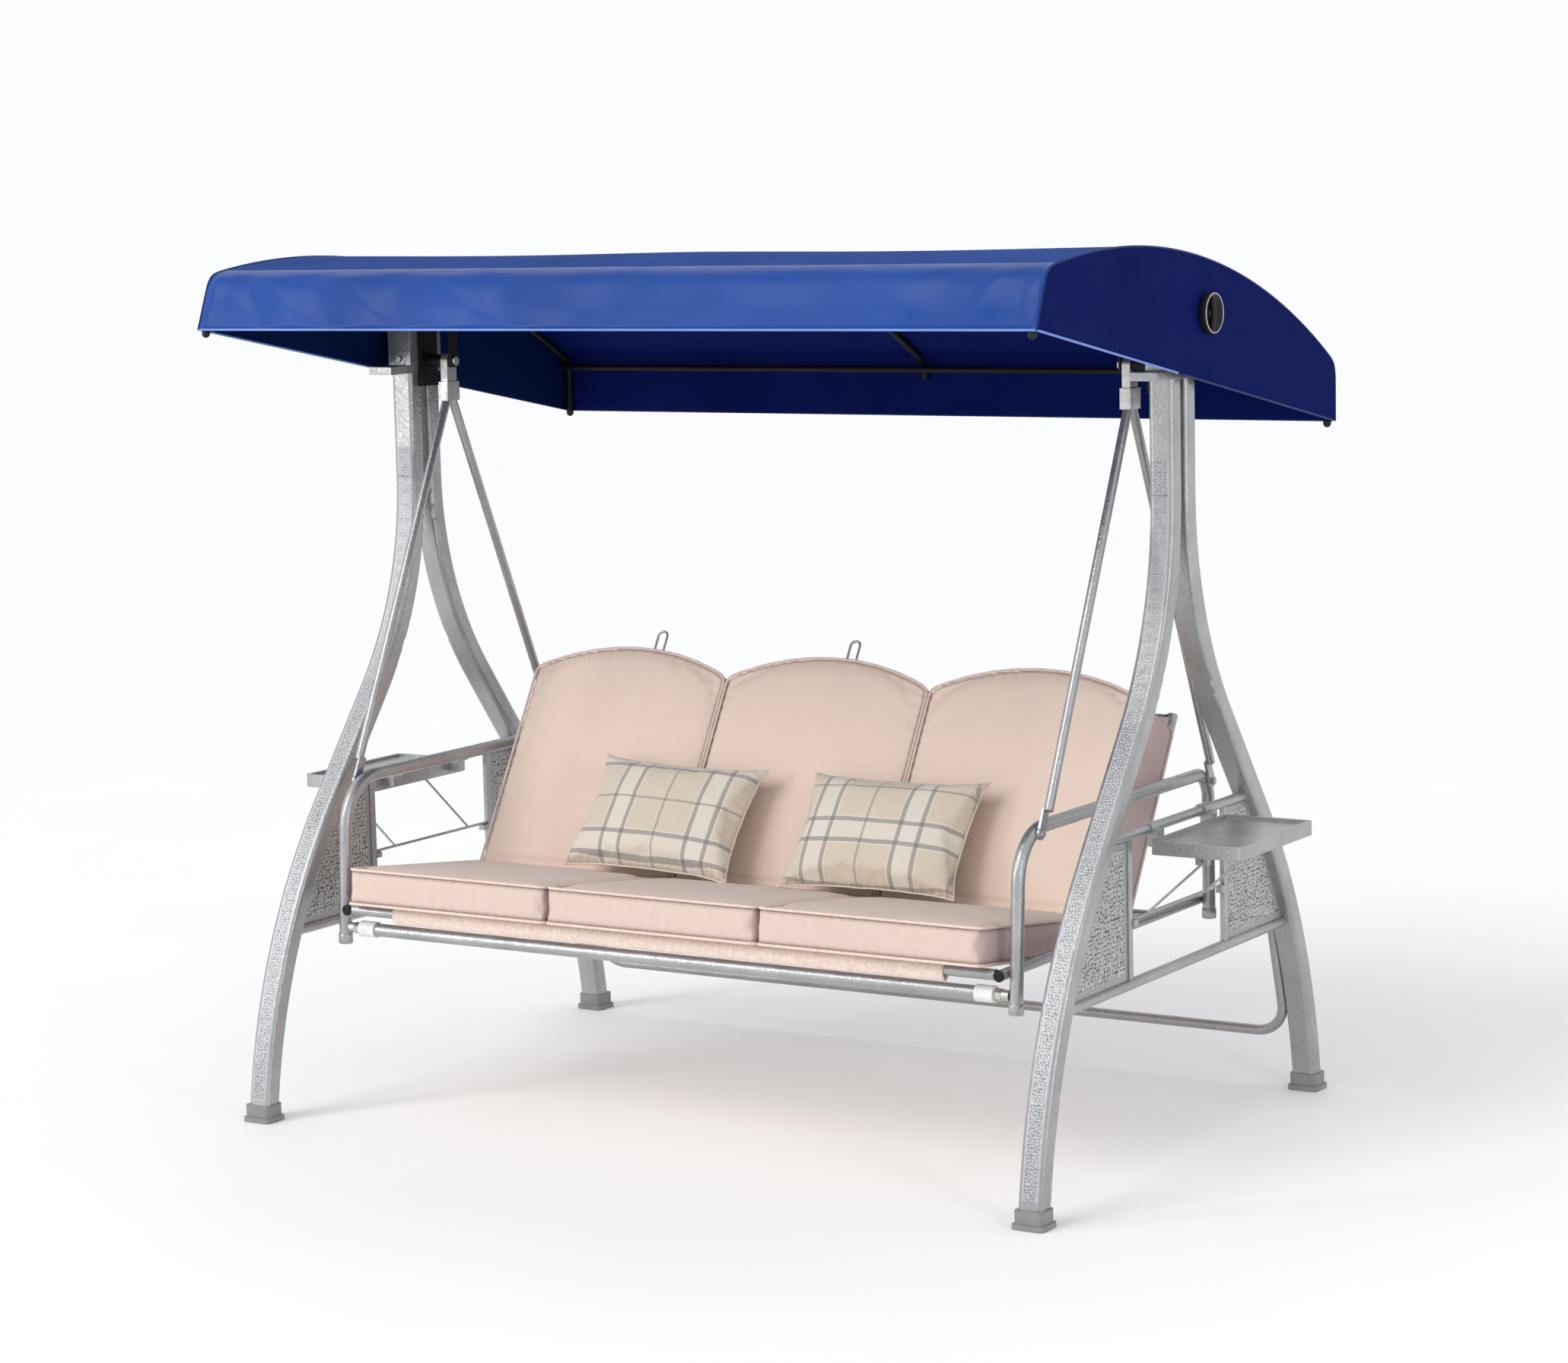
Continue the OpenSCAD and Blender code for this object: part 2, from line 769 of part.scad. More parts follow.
// Fabric band that runs round the front tube, under the cushions and up to the rear tube
module seat_sling() {
    top_front = [seat_tube_y, side_rail_z + rail_r];
    reach = seat_t / cos(back_lean - seat_fall);
    low = [crease_y - reach * sin(back_lean),
           crease_z - reach * cos(back_lean) - sling_t - touch_gap];
    rear = [seat_rear_tube_y - rail_r, side_rail_z];
    color(peach) translate([-sling_half, 0, 0]) across() linear_extrude(2 * sling_half)
        difference() {
            union() {
                polygon([top_front, low, rear, rear + [0, sling_t], low + [0, sling_t],
                         top_front + [0, sling_t]]);
                difference() {
                    translate([seat_tube_y, side_rail_z]) circle(rail_r + sling_t);
                    translate([seat_tube_y, side_rail_z - 2 * rail_r]) square(4 * rail_r);
                }
            }
            translate([seat_tube_y, side_rail_z]) circle(rail_r);
        }
}

module back_side_tubes() {
    color(steel) both() back_plane() translate([back_tube_x, back_tube_n, back_tube_low])
        linear_extrude(back_tube_top + rail_r - back_tube_low) ring(rail_r, 2);
}

module back_top_tube() {
    color(steel) back_plane() translate([0, back_tube_n, back_tube_top])
        tube_x(-back_tube_x + rail_r, back_tube_x - rail_r, rail_r);
}

module back_sling() {
    color(peach) back_plane() translate([-back_tube_x, back_t, back_tube_low])
        cube([2 * back_tube_x, sling_t, back_tube_top - back_tube_low]);
}

// Plates that join the back's side tubes to the seat's side rails
module side_plates() {
    foot_y_at = crease_y + back_tube_n * cos(back_lean) + back_tube_low * sin(back_lean);
    plate_front = foot_y_at - 45;
    plate_rear = seat_rear_tube_y - rail_r - touch_gap;
    color(steel) both()
        translate([back_tube_x + rail_r, plate_front, side_rail_z - 6])
            cube([side_rail_x - rail_r - back_tube_x - rail_r, plate_rear - plate_front, 12]);
}

// Wire loops on the top tube that the cushions tie to
module cushion_hooks() {
    color(zinc) for (i = [-1, 0])
        translate([i * section_w + hook_offset, 0, 0]) back_plane()
            translate([0, back_tube_n, back_tube_top + rail_r]) {
                for (x = [-hook_gap / 2, hook_gap / 2])
                    translate([x, 0, 0]) cylinder(h = hook_h - hook_gap / 2, r = hook_r);
                translate([0, 0, hook_h - hook_gap / 2]) rotate([90, 0, 0])
                    rotate_extrude(angle = 180) translate([hook_gap / 2, 0]) circle(hook_r);
            }
}

// One of three seat cushions, cut where it meets the back
module seat_cushion(i) {
    color(peach) difference() {
        translate([i * section_w - section_w / 2 + section_gap / 2, 0, 0]) seat_plane()
            translate([0, 0, -seat_t]) cube([section_w - section_gap, far / 4, seat_t]);
        back_plane() translate([-far / 2, -section_gap / 2, -far / 2]) cube(far);
    }
}

// One of three back cushions with an arched top
module back_cushion(i) {
    w = section_w - section_gap;
    arc_r = (w * w / 4 + back_arch * back_arch) / (2 * back_arch);
    color(peach) difference() {
        translate([i * section_w, 0, 0]) back_plane()
            translate([0, back_t, 0]) rotate([90, 0, 0]) linear_extrude(back_t) {
                translate([-w / 2, -back_len / 2]) square([w, back_len * 1.5]);
                intersection() {
                    translate([0, back_len + back_arch - arc_r]) circle(arc_r, $fn = 180);
                    translate([-w / 2, back_len - 1]) square([w, back_arch + 1]);
                }
            }
        translate([0, 0, back_floor_z - far / 2]) cube([far, far, far], center = true);
    }
}

// Plump cushion with thin seams, leaning on the back
module pillow(x) {
    color(plaid) back_plane()
        translate([x, -pillow_t / 2 - section_gap, pillow_h / 2 - pillow_drop])
            hull() {
                cube([pillow_w, pillow_edge, pillow_h], center = true);
                cube([pillow_w * 0.8, pillow_t * 0.7, pillow_h * 0.7], center = true);
                cube([pillow_w * 0.55, pillow_t, pillow_h * 0.4], center = true);
            }
}

// ---- Canopy ----

// Outline of the canopy across its length, drawn in by t and open below where t > 0
module canopy_outline(t) {
    drop = t > 0 ? 20 : 0;
    slope = valance_in / valance_h;
    translate([canopy_mid, 0]) {
        polygon([[-canopy_half + t - drop * slope, hem_v - drop],
                 [canopy_half - t + drop * slope, hem_v - drop],
                 [shoulder - t, shoulder_v], [-shoulder + t, shoulder_v]]);
        intersection() {
            translate([0, arch_cv]) circle(arch_r - t, $fn = 360);
            translate([-shoulder + t, shoulder_v - 1]) square([2 * (shoulder - t), arch_rise + 1]);
        }
    }
}

module canopy_cover() {
    color(blue) canopy_plane() difference() {
        translate([-end_x, 0, 0]) across() linear_extrude(2 * end_x) canopy_outline(0);
        translate([-end_x + end_t, 0, 0]) across()
            linear_extrude(2 * (end_x - end_t)) canopy_outline(cover_t);
        rod_x(-far, far, knob_hole_r);
    }
}

// One rib; the legs beside the hem are only on the end ribs
module rib(leg) {
    translate([0, canopy_mid, 0]) {
        bend_yz(0, arch_cv, rib_arc_r, 90 - rib_a, 90 + rib_a, weld_gap) ring(rib_r, rib_wall);
        for (s = [-1, 1]) leg_place(s) {
            bend_yz(rib_bc[0], rib_bc[1], rib_bend, wall_a, 90 - rib_a, weld_gap)
                ring(rib_r, rib_wall);
            plug(rib_arc_r * sin(rib_a), arch_cv + rib_arc_r * cos(rib_a), 90 - rib_a)
                circle(rib_r - rib_wall / 2);
            if (leg)
                plug(rib_end[0], rib_end[1], wall_a) circle(rib_r - rib_wall / 2);
            if (leg)
                translate([0, rib_end[0], rib_end[1]]) rotate([180 + wall_a, 0, 0])
                    linear_extrude(rib_leg) ring(rib_r, rib_wall);
        }
    }
}

module end_rib() {
    color(dark) canopy_plane() translate([rib_x, 0, 0]) rib(true);
}

module middle_rib() {
    color(dark) canopy_plane() rib(false);
}

module rib_tips() {
    color(dark) canopy_plane() both() for (s = [-1, 1])
        translate([rib_x, canopy_mid, 0]) leg_place(s)
            translate([0, rib_end[0], rib_end[1]]) rotate([180 + wall_a, 0, 0])
                translate([0, 0, rib_leg]) {
                    cylinder(h = tip_l - tip_r, r = tip_r);
                    intersection() {
                        cylinder(h = tip_l, r = 2 * tip_r);
                        translate([0, 0, tip_l - tip_r]) sphere(tip_r);
                    }
                }
}

module canopy_bars() {
    color(dark) canopy_plane() for (s = [-1, 1])
        translate([0, canopy_mid + s * bar_u, bar_v])
            tube_x(-rib_x - rib_r, rib_x + rib_r, rib_r, 1.5);
}

module pivot_plates() {
    rib_low = arch_cv + sqrt(rib_arc_r * rib_arc_r - canopy_mid * canopy_mid) - rib_r;
    color(dark) canopy_plane() both() difference() {
        union() {
            rod_x(plate_x - plate_t / 2, plate_x + plate_t / 2, plate_half);
            translate([plate_x - plate_t / 2, -plate_half, 0])
                cube([plate_t, 2 * plate_half, rib_low - touch_gap]);
        }
        rod_x(0, far, bolt_r + run_gap);
    }
}

module tilt_knob() {
    color(dark) translate([0, pivot_y, pivot_z]) difference() {
        rod_x(end_x + knob_gap, end_x + knob_t, knob_r);
        rod_x(end_x, end_x + stud_reach + 1, bolt_r + run_gap);
        for (i = [0 : flutes - 1]) rotate([i * 360 / flutes, 0, 0])
            translate([0, knob_r + flute_r / 2, 0])
                rod_x(end_x, end_x + knob_t + 1, flute_r);
    }
}

// ---- Side tables ----

module tray() {
    mid_x = tray_in_x + tray_w / 2;
    color(steel) difference() {
        union() {
            difference() {
                translate([mid_x, 0, tray_z - tray_skirt])
                    linear_extrude(tray_skirt) round_rect(tray_w, tray_l, tray_r);
                translate([mid_x, 0, tray_z - tray_recess])
                    linear_extrude(far)
                        round_rect(tray_w - 2 * tray_rim, tray_l - 2 * tray_rim, tray_in);
                translate([mid_x, 0, tray_z - tray_skirt - 1])
                    linear_extrude(tray_skirt + 1 - tray_recess - tray_floor)
                        round_rect(tray_w - 2 * tray_wall, tray_l - 2 * tray_wall,
                                   tray_r - tray_wall);
            }
            for (s = [-1, 1]) {
                translate([leg_x, s * lug_y, bar_z]) rod_y(-lug_w / 2, lug_w / 2, lug_r);
                translate([leg_x, s * lug_y - lug_w / 2, tray_z - lug_h])
                    cube([tray_in_x + 1 - leg_x, lug_w, bar_z - tray_z + lug_h]);
                translate([prop_x - prop_ear_half, s * prop_ear_y - prop_ear_w / 2,
                           prop_z - prop_ear_half / 2])
                    cube([2 * prop_ear_half, prop_ear_w,
                          tray_z - tray_recess - prop_z + prop_ear_half / 2 - 1]);
            }
        }
        translate([leg_x, 0, bar_z]) rod_y(-far / 2, far / 2, bar_r + run_gap);
        translate([prop_x, 0, prop_z]) rod_y(-far / 2, far / 2, prop_r + run_gap);
        translate([mid_x + tray_w / 4, -tray_l / 4, 0]) cylinder(h = far, r = drain_r);
    }
}

// Wire prop: a pivot wire, two arms and a foot wire
module prop() {
    run = [prop_x - leg_x, prop_z - prop_foot_z];
    color(steel) {
        translate([prop_x, 0, prop_z])
            rod_y(-prop_ear_y - prop_ear_w, prop_ear_y + prop_ear_w, prop_r);
        translate([leg_x, 0, prop_foot_z]) rod_y(-prop_half, prop_half, prop_r);
        for (s = [-1, 1]) translate([leg_x, s * prop_arm_y, prop_foot_z])
            rotate([0, atan2(run[0], run[1]), 0]) cylinder(h = norm(run), r = prop_arm_r);
    }
}

// ---- Assembly ----

side(-1) leg(-1);  // leg_front_left
side(1) leg(-1);  // leg_front_right
side(-1) leg(1);  // leg_rear_left
side(1) leg(1);  // leg_rear_right
foot_caps();
side(-1) column_head();  // column_head_left
side(1) column_head();  // column_head_right
frame_bolts();
top_beam();
lower_braces();
stiles();
mesh_panels();
side(-1) table_bar();  // table_bar_left
side(1) table_bar();  // table_bar_right
prop_hooks();
rear_stretcher();
hanger_brackets();
hanger_pins();
tilt_bushes();
side(-1) hanger_eye();  // hanger_eye_left
side(1) hanger_eye();  // hanger_eye_right
side(-1) hanger_rod(-1, front_bolt);  // rod_front_left
side(1) hanger_rod(-1, front_bolt);  // rod_front_right
side(-1) hanger_rod(1, rear_bolt);  // rod_rear_left
side(1) hanger_rod(1, rear_bolt);  // rod_rear_right
rod_bolts();
side(-1) arm_frame();  // arm_frame_left
side(1) arm_frame();  // arm_frame_right
front_rail();
rail_sleeves();
rail_nuts();
seat_side_rails();
seat_cross_tubes();
seat_sling();
back_side_tubes();
back_top_tube();
back_sling();
side_plates();
cushion_hooks();
seat_cushion(-1);  // seat_cushion_left
seat_cushion(0);  // seat_cushion_middle
seat_cushion(1);  // seat_cushion_right
back_cushion(-1);  // back_cushion_left
back_cushion(0);  // back_cushion_middle
back_cushion(1);  // back_cushion_right
pillow(pillow_x[0]);  // pillow_left
pillow(pillow_x[1]);  // pillow_right
canopy_cover();
side(-1) end_rib();  // canopy_rib_left
middle_rib();  // canopy_rib_middle
side(1) end_rib();  // canopy_rib_right
canopy_bars();
rib_tips();
pivot_plates();
side(-1) tilt_knob();  // tilt_knob_left
side(1) tilt_knob();  // tilt_knob_right
side(-1) tray();  // tray_left
side(1) tray();  // tray_right
side(-1) prop();  // prop_left
side(1) prop();  // prop_right
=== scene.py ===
"""Looks for the three-seat garden glider swing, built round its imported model.

Metres and the row frame: +X along the bench, -Y the front, +Z up. A soft piece is made in a
frame of its own, so that its weave or check follows it.
"""

import json
import math

import bpy
import numpy as np
from mathutils import Matrix, Vector
from mathutils.kdtree import KDTree


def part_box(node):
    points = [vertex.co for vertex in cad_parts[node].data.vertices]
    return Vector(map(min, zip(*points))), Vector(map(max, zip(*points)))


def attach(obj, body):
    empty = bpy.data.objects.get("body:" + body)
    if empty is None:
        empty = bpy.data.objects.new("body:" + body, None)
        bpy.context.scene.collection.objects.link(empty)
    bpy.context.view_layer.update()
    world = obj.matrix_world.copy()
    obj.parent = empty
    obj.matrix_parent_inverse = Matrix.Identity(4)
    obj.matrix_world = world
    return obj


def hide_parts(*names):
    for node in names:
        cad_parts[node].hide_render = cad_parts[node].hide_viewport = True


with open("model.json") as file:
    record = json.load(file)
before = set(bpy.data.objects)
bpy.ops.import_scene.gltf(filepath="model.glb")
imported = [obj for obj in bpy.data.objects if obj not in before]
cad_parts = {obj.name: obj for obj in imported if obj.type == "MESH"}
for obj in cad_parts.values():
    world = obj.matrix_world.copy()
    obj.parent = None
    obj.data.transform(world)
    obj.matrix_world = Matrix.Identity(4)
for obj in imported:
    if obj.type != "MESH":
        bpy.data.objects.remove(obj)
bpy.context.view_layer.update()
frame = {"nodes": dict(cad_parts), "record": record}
scene = bpy.context.scene

SIDES = ((-1, "left"), (1, "right"))
PLACES = ((-1, "left"), (0, "middle"), (1, "right"))

# ---- Sizes shared with the part, in metres and degrees ----

# Leg curve, in the plane of an end frame, from the foot up
LEG_X = 0.930
LEG_D = 0.042
FOOT_Y = 0.622
FOOT_LEAN = math.radians(5.7)
MID_LEAN = math.radians(37.5)
LOW_R = 1.256
MID_LEN = 0.300
TOP_R = 0.746
LOW_CENTRE = np.array([FOOT_Y - LOW_R * math.cos(FOOT_LEAN), -LOW_R * math.sin(FOOT_LEAN)])
MID_START = LOW_CENTRE + LOW_R * np.array([math.cos(MID_LEAN), math.sin(MID_LEAN)])
MID_END = MID_START + MID_LEN * np.array([-math.sin(MID_LEAN), math.cos(MID_LEAN)])
TOP_CENTRE = MID_END + TOP_R * np.array([math.cos(MID_LEAN), math.sin(MID_LEAN)])

# Side frame
BRACE_TOP = 0.398
BAR_UNDER = 0.673
STILE_EDGE = 0.223
PANEL_T = 0.003

# Seat and back planes
SEAT_FALL = 7.2
BACK_LEAN = 30.5
SEAT_FRONT_Y, SEAT_FRONT_Z = -0.511, 0.541
CREASE_Y = -0.045
CREASE_Z = SEAT_FRONT_Z - (CREASE_Y - SEAT_FRONT_Y) * math.tan(math.radians(SEAT_FALL))
SEAT_FRONT = Vector((0, SEAT_FRONT_Y, SEAT_FRONT_Z))
CREASE = Vector((0, CREASE_Y, CREASE_Z))
ROW_W = 1.534
SECTION_W = ROW_W / 3
SEAT_T = 0.079
BACK_T = 0.160
BACK_LEN = 0.473
BACK_ARCH = 0.058
BACK_FLOOR = 0.455
# A pad starts this far inside its solid, for it swells
PAD_INSET = 0.0035
PILLOW_SIZE = Vector((0.425, 0.096, 0.285))
PILLOW_X = (-0.262, 0.280)
PILLOW_DROP = 0.019
PILLOW_LEAN = 7

# Canopy plane: y runs from front to rear and z up, both from the tilt pivot
PIVOT = Vector((0, 0.036, 1.685))
CANOPY_TILT = 10.7
CANOPY_MID = -0.012
CANOPY_END = 0.985
CANOPY_HALF = 0.672
HEM = -0.131
VALANCE_H = 0.118
SHOULDER = 0.650
ARCH_RISE = 0.119
KNOB_R = 0.042
KNOB_T = 0.022

# Bench tubes
SEAT_TUBE = (-0.478, 0.443)
RAIL_R = 0.011
SLING_HALF = 0.668
BACK_TUBE_X = 0.745
ARM_R = 0.0135


def turned(origin, degrees):
    """The plane at origin, turned back about X by that many degrees."""
    return Matrix.Translation(origin) @ Matrix.Rotation(math.radians(-degrees), 4, "X")


SEAT = turned(SEAT_FRONT, SEAT_FALL)
BACK = turned(CREASE, BACK_LEAN)
CANOPY = turned(PIVOT, CANOPY_TILT)

# ---- Camera, light and floor ----


def make_camera():
    place = Vector((4.271, -6.795, 1.963))
    azimuth, pitch, roll = (math.radians(a) for a in (32.058, 7.457, -1.361))
    back = Vector((
        math.sin(azimuth) * math.cos(pitch),
        -math.cos(azimuth) * math.cos(pitch),
        math.sin(pitch),
    ))
    level = Vector((math.cos(azimuth), math.sin(azimuth), 0))
    upright = back.cross(level)
    right = math.cos(roll) * level + math.sin(roll) * upright
    up = math.cos(roll) * upright - math.sin(roll) * level
    camera = bpy.data.objects.new("camera", bpy.data.cameras.new("camera"))
    camera.data.sensor_width = 36
    camera.data.lens = 87.99
    camera.data.clip_end = 60
    turn = Matrix((right, up, back)).transposed().to_4x4()
    camera.matrix_world = Matrix.Translation(place) @ turn
    scene.collection.objects.link(camera)
    scene.camera = camera


def area_light(name, place, target, size, power):
    lamp = bpy.data.lights.new(name, "AREA")
    lamp.shape = "RECTANGLE"
    lamp.size, lamp.size_y = size
    lamp.energy = power
    obj = bpy.data.objects.new(name, lamp)
    obj.location = place
    obj.rotation_euler = (Vector(target) - Vector(place)).to_track_quat("-Z", "Y").to_euler()
    scene.collection.objects.link(obj)


def make_studio():
    world = bpy.data.worlds.new("studio")
    world.use_nodes = True
    nodes, links = world.node_tree.nodes, world.node_tree.links
    background = nodes["Background"]
    background.inputs["Color"].default_value = (0.97, 0.98, 1, 1)
    seen = nodes.new("ShaderNodeLightPath").outputs["Is Camera Ray"]
    strength = nodes.new("ShaderNodeMapRange")
    strength.inputs["To Min"].default_value = 0.88
    strength.inputs["To Max"].default_value = 1.0
    links.new(seen, strength.inputs["Value"])
    links.new(strength.outputs["Result"], background.inputs["Strength"])
    scene.world = world
    scene.view_settings.view_transform = "Standard"
    middle = (0, 0, 0.9)
    sun = bpy.data.objects.new("key", bpy.data.lights.new("key", "SUN"))
    sun.data.energy = 0.95
    sun.data.angle = math.radians(28)
    sun.data.color = (1, 0.985, 0.965)
    sun.rotation_euler = Vector((2.3, 5.4, -5.2)).to_track_quat("-Z", "Y").to_euler()
    scene.collection.objects.link(sun)
    area_light("side", (-3.6, -4.6, 2.2), middle, (0.8, 2.6), 60)
    area_light("strip", (4.6, -2.4, 1.9), middle, (0.35, 2.4), 26)
    size = 60
    corners = [(-size, -size, 0), (size, -size, 0), (size, size, 0), (-size, size, 0)]
    floor = mesh_object("floor", corners, [(0, 1, 2, 3)], [floor_paint()], smooth=False)
    floor.location.z = -0.0005


# ---- Materials ----


class Paint:
    """A material being made: its nodes, and short ways to add and join them."""

    def __init__(self, name, colour, roughness, **sockets):
        self.material = bpy.data.materials.new(name)
        self.material.use_nodes = True
        self.tree = self.material.node_tree
        self.shader = self.tree.nodes["Principled BSDF"]
        self.set(self.shader, "Base Color", colour)
        self.set(self.shader, "Roughness", roughness)
        for socket, value in sockets.items():
            self.set(self.shader, socket.replace("_", " "), value)
        self.place = self.add("ShaderNodeTexCoord").outputs["Object"]

    def set(self, node, socket, value):
        if hasattr(value, "links"):
            self.tree.links.new(value, node.inputs[socket])
            return
        if isinstance(value, tuple) and len(value) == 3 and node.inputs[socket].type == "RGBA":
            value = (*value, 1)
        node.inputs[socket].default_value = value

    def add(self, kind, settings=None, **sockets):
        node = self.tree.nodes.new(kind)
        for key, value in (settings or {}).items():
            setattr(node, key, value)
        for socket, value in sockets.items():
            self.set(node, socket.replace("_", " "), value)
        return node

    def maths(self, operation, a, b=0.0):
        node = self.add("ShaderNodeMath", {"operation": operation})
        self.set(node, 0, a)
        self.set(node, 1, b)
        return node.outputs[0]

    def times(self, a, b):
        return self.maths("MULTIPLY", a, b)

    def noise(self, scale, detail=3.0, roughness=0.5):
        node = self.add("ShaderNodeTexNoise", Scale=scale, Detail=detail, Roughness=roughness)
        self.set(node, "Vector", self.place)
        return node.outputs["Fac"]

    def cells(self, scale):
        node = self.add("ShaderNodeTexVoronoi", {"feature": "SMOOTH_F1"}, Scale=scale)
        self.set(node, "Vector", self.place)
        return node.outputs["Distance"]

    def ramp(self, value, low, high, out_low=0.0, out_high=1.0):
        node = self.add("ShaderNodeMapRange", {"clamp": True})
        for i, v in enumerate((value, low, high, out_low, out_high)):
            self.set(node, i, v)
        return node.outputs[0]

    def blend(self, factor, a, b):
        node = self.add("ShaderNodeMix", {"data_type": "RGBA", "blend_type": "MIX"})
        self.set(node, 0, factor)
        self.set(node, 6, a)
        self.set(node, 7, b)
        return node.outputs[2]

    def axis(self, name):
        node = self.add("ShaderNodeSeparateXYZ")
        self.set(node, 0, self.place)
        return node.outputs[name]

    def attribute(self, name):
        node = self.add("ShaderNodeAttribute", {"attribute_name": name})
        return node.outputs["Fac"]

    def over(self, shade, mask, share, colour):
        """shade, with that share of colour over it where mask is 1."""
        return self.blend(self.times(mask, share), shade, colour)

    def bump(self, height, strength, distance, under=None):
        node = self.add("ShaderNodeBump", Strength=strength, Distance=distance, Height=height)
        if under is not None:
            self.set(node, "Normal", under)
        return node.outputs[0]

    def rounded_edges(self, radius):
        return self.add("ShaderNodeBevel", {"samples": 4}, Radius=radius).outputs[0]

    def use(self, **sockets):
        for socket, value in sockets.items():
            self.set(self.shader, socket.replace("_", " "), value)
        return self.material


def tinted(colour, factor):
    return tuple(factor * c for c in colour)


def floor_paint():
    paint = Paint("floor", (0.93, 0.93, 0.93), 0.7)
    tone = paint.ramp(paint.noise(1.5), 0.3, 0.7, 0.0, 1.0)
    return paint.use(Base_Color=paint.blend(tone, (0.925, 0.925, 0.925), (0.94, 0.94, 0.94)))


def hammered_steel(name, colour):
    """Silver-grey powder coat with fine hammer dimples."""
    dimple, depth, roughness = 150.0, 0.4, 0.31
    paint = Paint(name, colour, roughness, Metallic=0.72)
    edge = paint.rounded_edges(0.0016)
    tone = paint.ramp(paint.noise(9.0, 4), 0.3, 0.7)
    dark = tinted(colour, 0.86)
    light = tinted(colour, 1.1)
    shade = paint.blend(tone, dark, light)
    cells = paint.cells(dimple)
    fleck = paint.ramp(cells, 0.05, 0.5)
    shade = paint.over(shade, fleck, 0.22, tinted(colour, 0.6))
    rough = paint.ramp(paint.noise(60.0, 3), 0.3, 0.7, roughness - 0.05, roughness + 0.09)
    height = paint.maths("ADD", cells, paint.times(paint.noise(700.0, 2), 0.25))
    return paint.use(
        Base_Color=shade, Roughness=rough, Normal=paint.bump(height, depth, 0.0012, edge)
    )


def embossed_steel():
    """The legs' stamped front strip: light tops and painted shade darkening the hollows."""
    paint = Paint("embossed_steel", (0.5, 0.5, 0.51), 0.45, Metallic=0.5)
    relief = paint.attribute("relief")
    # Painted shade: low relief, in the hollows, goes dark.
    shade = paint.blend(paint.ramp(relief, 0.05, 0.75), (0.12, 0.122, 0.127), (0.50, 0.505, 0.52))
    grain = paint.noise(420.0, 3)
    shade = paint.blend(paint.ramp(grain, 0.4, 0.62, 0.0, 0.35), shade, (0.24, 0.24, 0.25))
    return paint.use(Base_Color=shade, Normal=paint.bump(grain, 0.5, 0.0008))


def pebbled_steel():
    """The infill plates: pale pebbles, with painted shade near black in the hollows between them.
    """
    paint = Paint("pebbled_steel", (0.5, 0.5, 0.5), 0.42, Metallic=0.45)
    relief = paint.attribute("relief")
    # Painted shade: the hollows between the pebbles go near black.
    shade = paint.blend(paint.ramp(relief, 0.12, 0.62), (0.03, 0.03, 0.032), (0.52, 0.52, 0.51))
    flat = paint.attribute("border")
    shade = paint.blend(flat, shade, (0.36, 0.365, 0.37))
    return paint.use(Base_Color=shade, Normal=paint.bump(paint.noise(500.0, 3), 0.3, 0.0005))


def plated(name, colour, roughness):
    """Zinc or other bare plated metal, lightly mottled."""
    paint = Paint(name, colour, roughness, Metallic=0.9)
    spots = paint.noise(45.0, 5, 0.6)
    dark = tinted(colour, 0.7)
    shade = paint.blend(paint.ramp(spots, 0.35, 0.7), dark, colour)
    rough = paint.ramp(spots, 0.3, 0.7, roughness + 0.12, roughness - 0.06)
    edge = paint.rounded_edges(0.0012)
    grain = paint.bump(paint.noise(300.0, 2), 0.25, 0.0004, edge)
    return paint.use(Base_Color=shade, Roughness=rough, Normal=grain)


def satin_black():
    paint = Paint("satin_black", (0.006, 0.006, 0.008), 0.5, Specular_IOR_Level=0.2)
    worn = paint.ramp(paint.noise(70.0, 4), 0.6, 0.85)
    shade = paint.blend(worn, (0.005, 0.005, 0.007), (0.022, 0.022, 0.026))
    edge = paint.rounded_edges(0.0012)
    return paint.use(Base_Color=shade, Normal=paint.bump(paint.noise(420.0, 2), 0.3, 0.0004, edge))


def moulded(name, colour, roughness):
    """Moulded plastic with a fine spark-eroded grain."""
    paint = Paint(name, colour, roughness, Specular_IOR_Level=0.3)
    shade = paint.blend(
        paint.ramp(paint.noise(28.0, 3), 0.3, 0.7), tinted(colour, 0.82), colour
    )
    edge = paint.rounded_edges(0.002)
    return paint.use(Base_Color=shade, Normal=paint.bump(paint.noise(600.0, 2), 0.35, 0.0004, edge))


def weave(paint, pitch, axes="XZ"):
    """Height of a plain weave whose threads run along two axes of the piece."""
    turn = 2 * math.pi / pitch
    a, b = (
        paint.maths("SINE", paint.times(paint.axis(name), turn)) for name in axes
    )
    return paint.times(a, b)


def cushion_cloth(name, colour, shaded, axes):
    """Woven polyester: threads, slubs, painted shade in the seam crease and painted mauve shade on
    the sides.
    """
    paint = Paint(name, colour, 0.82, Sheen_Weight=0.25, Sheen_Roughness=0.5)
    # Painted shade: the gusset and the flanks turn towards the shaded mauve.
    side = paint.attribute("side")
    shade = paint.blend(side, colour, shaded)
    cloud = paint.ramp(paint.noise(7.0, 4), 0.3, 0.7)
    shade = paint.over(shade, cloud, 0.10, tinted(colour, 0.8))
    slub = paint.ramp(paint.noise(160.0, 4, 0.7), 0.5, 0.75)
    shade = paint.over(shade, slub, 0.10, tinted(colour, 0.72))
    # Painted shade: a dark line in the crease beside each seam.
    seam = paint.attribute("seam")
    shade = paint.over(shade, seam, 0.55, (0.2, 0.13, 0.12))
    height = paint.maths("ADD", weave(paint, 0.0022, axes), paint.noise(240.0, 3))
    return paint.use(Base_Color=shade, Normal=paint.bump(height, 0.35, 0.0004))


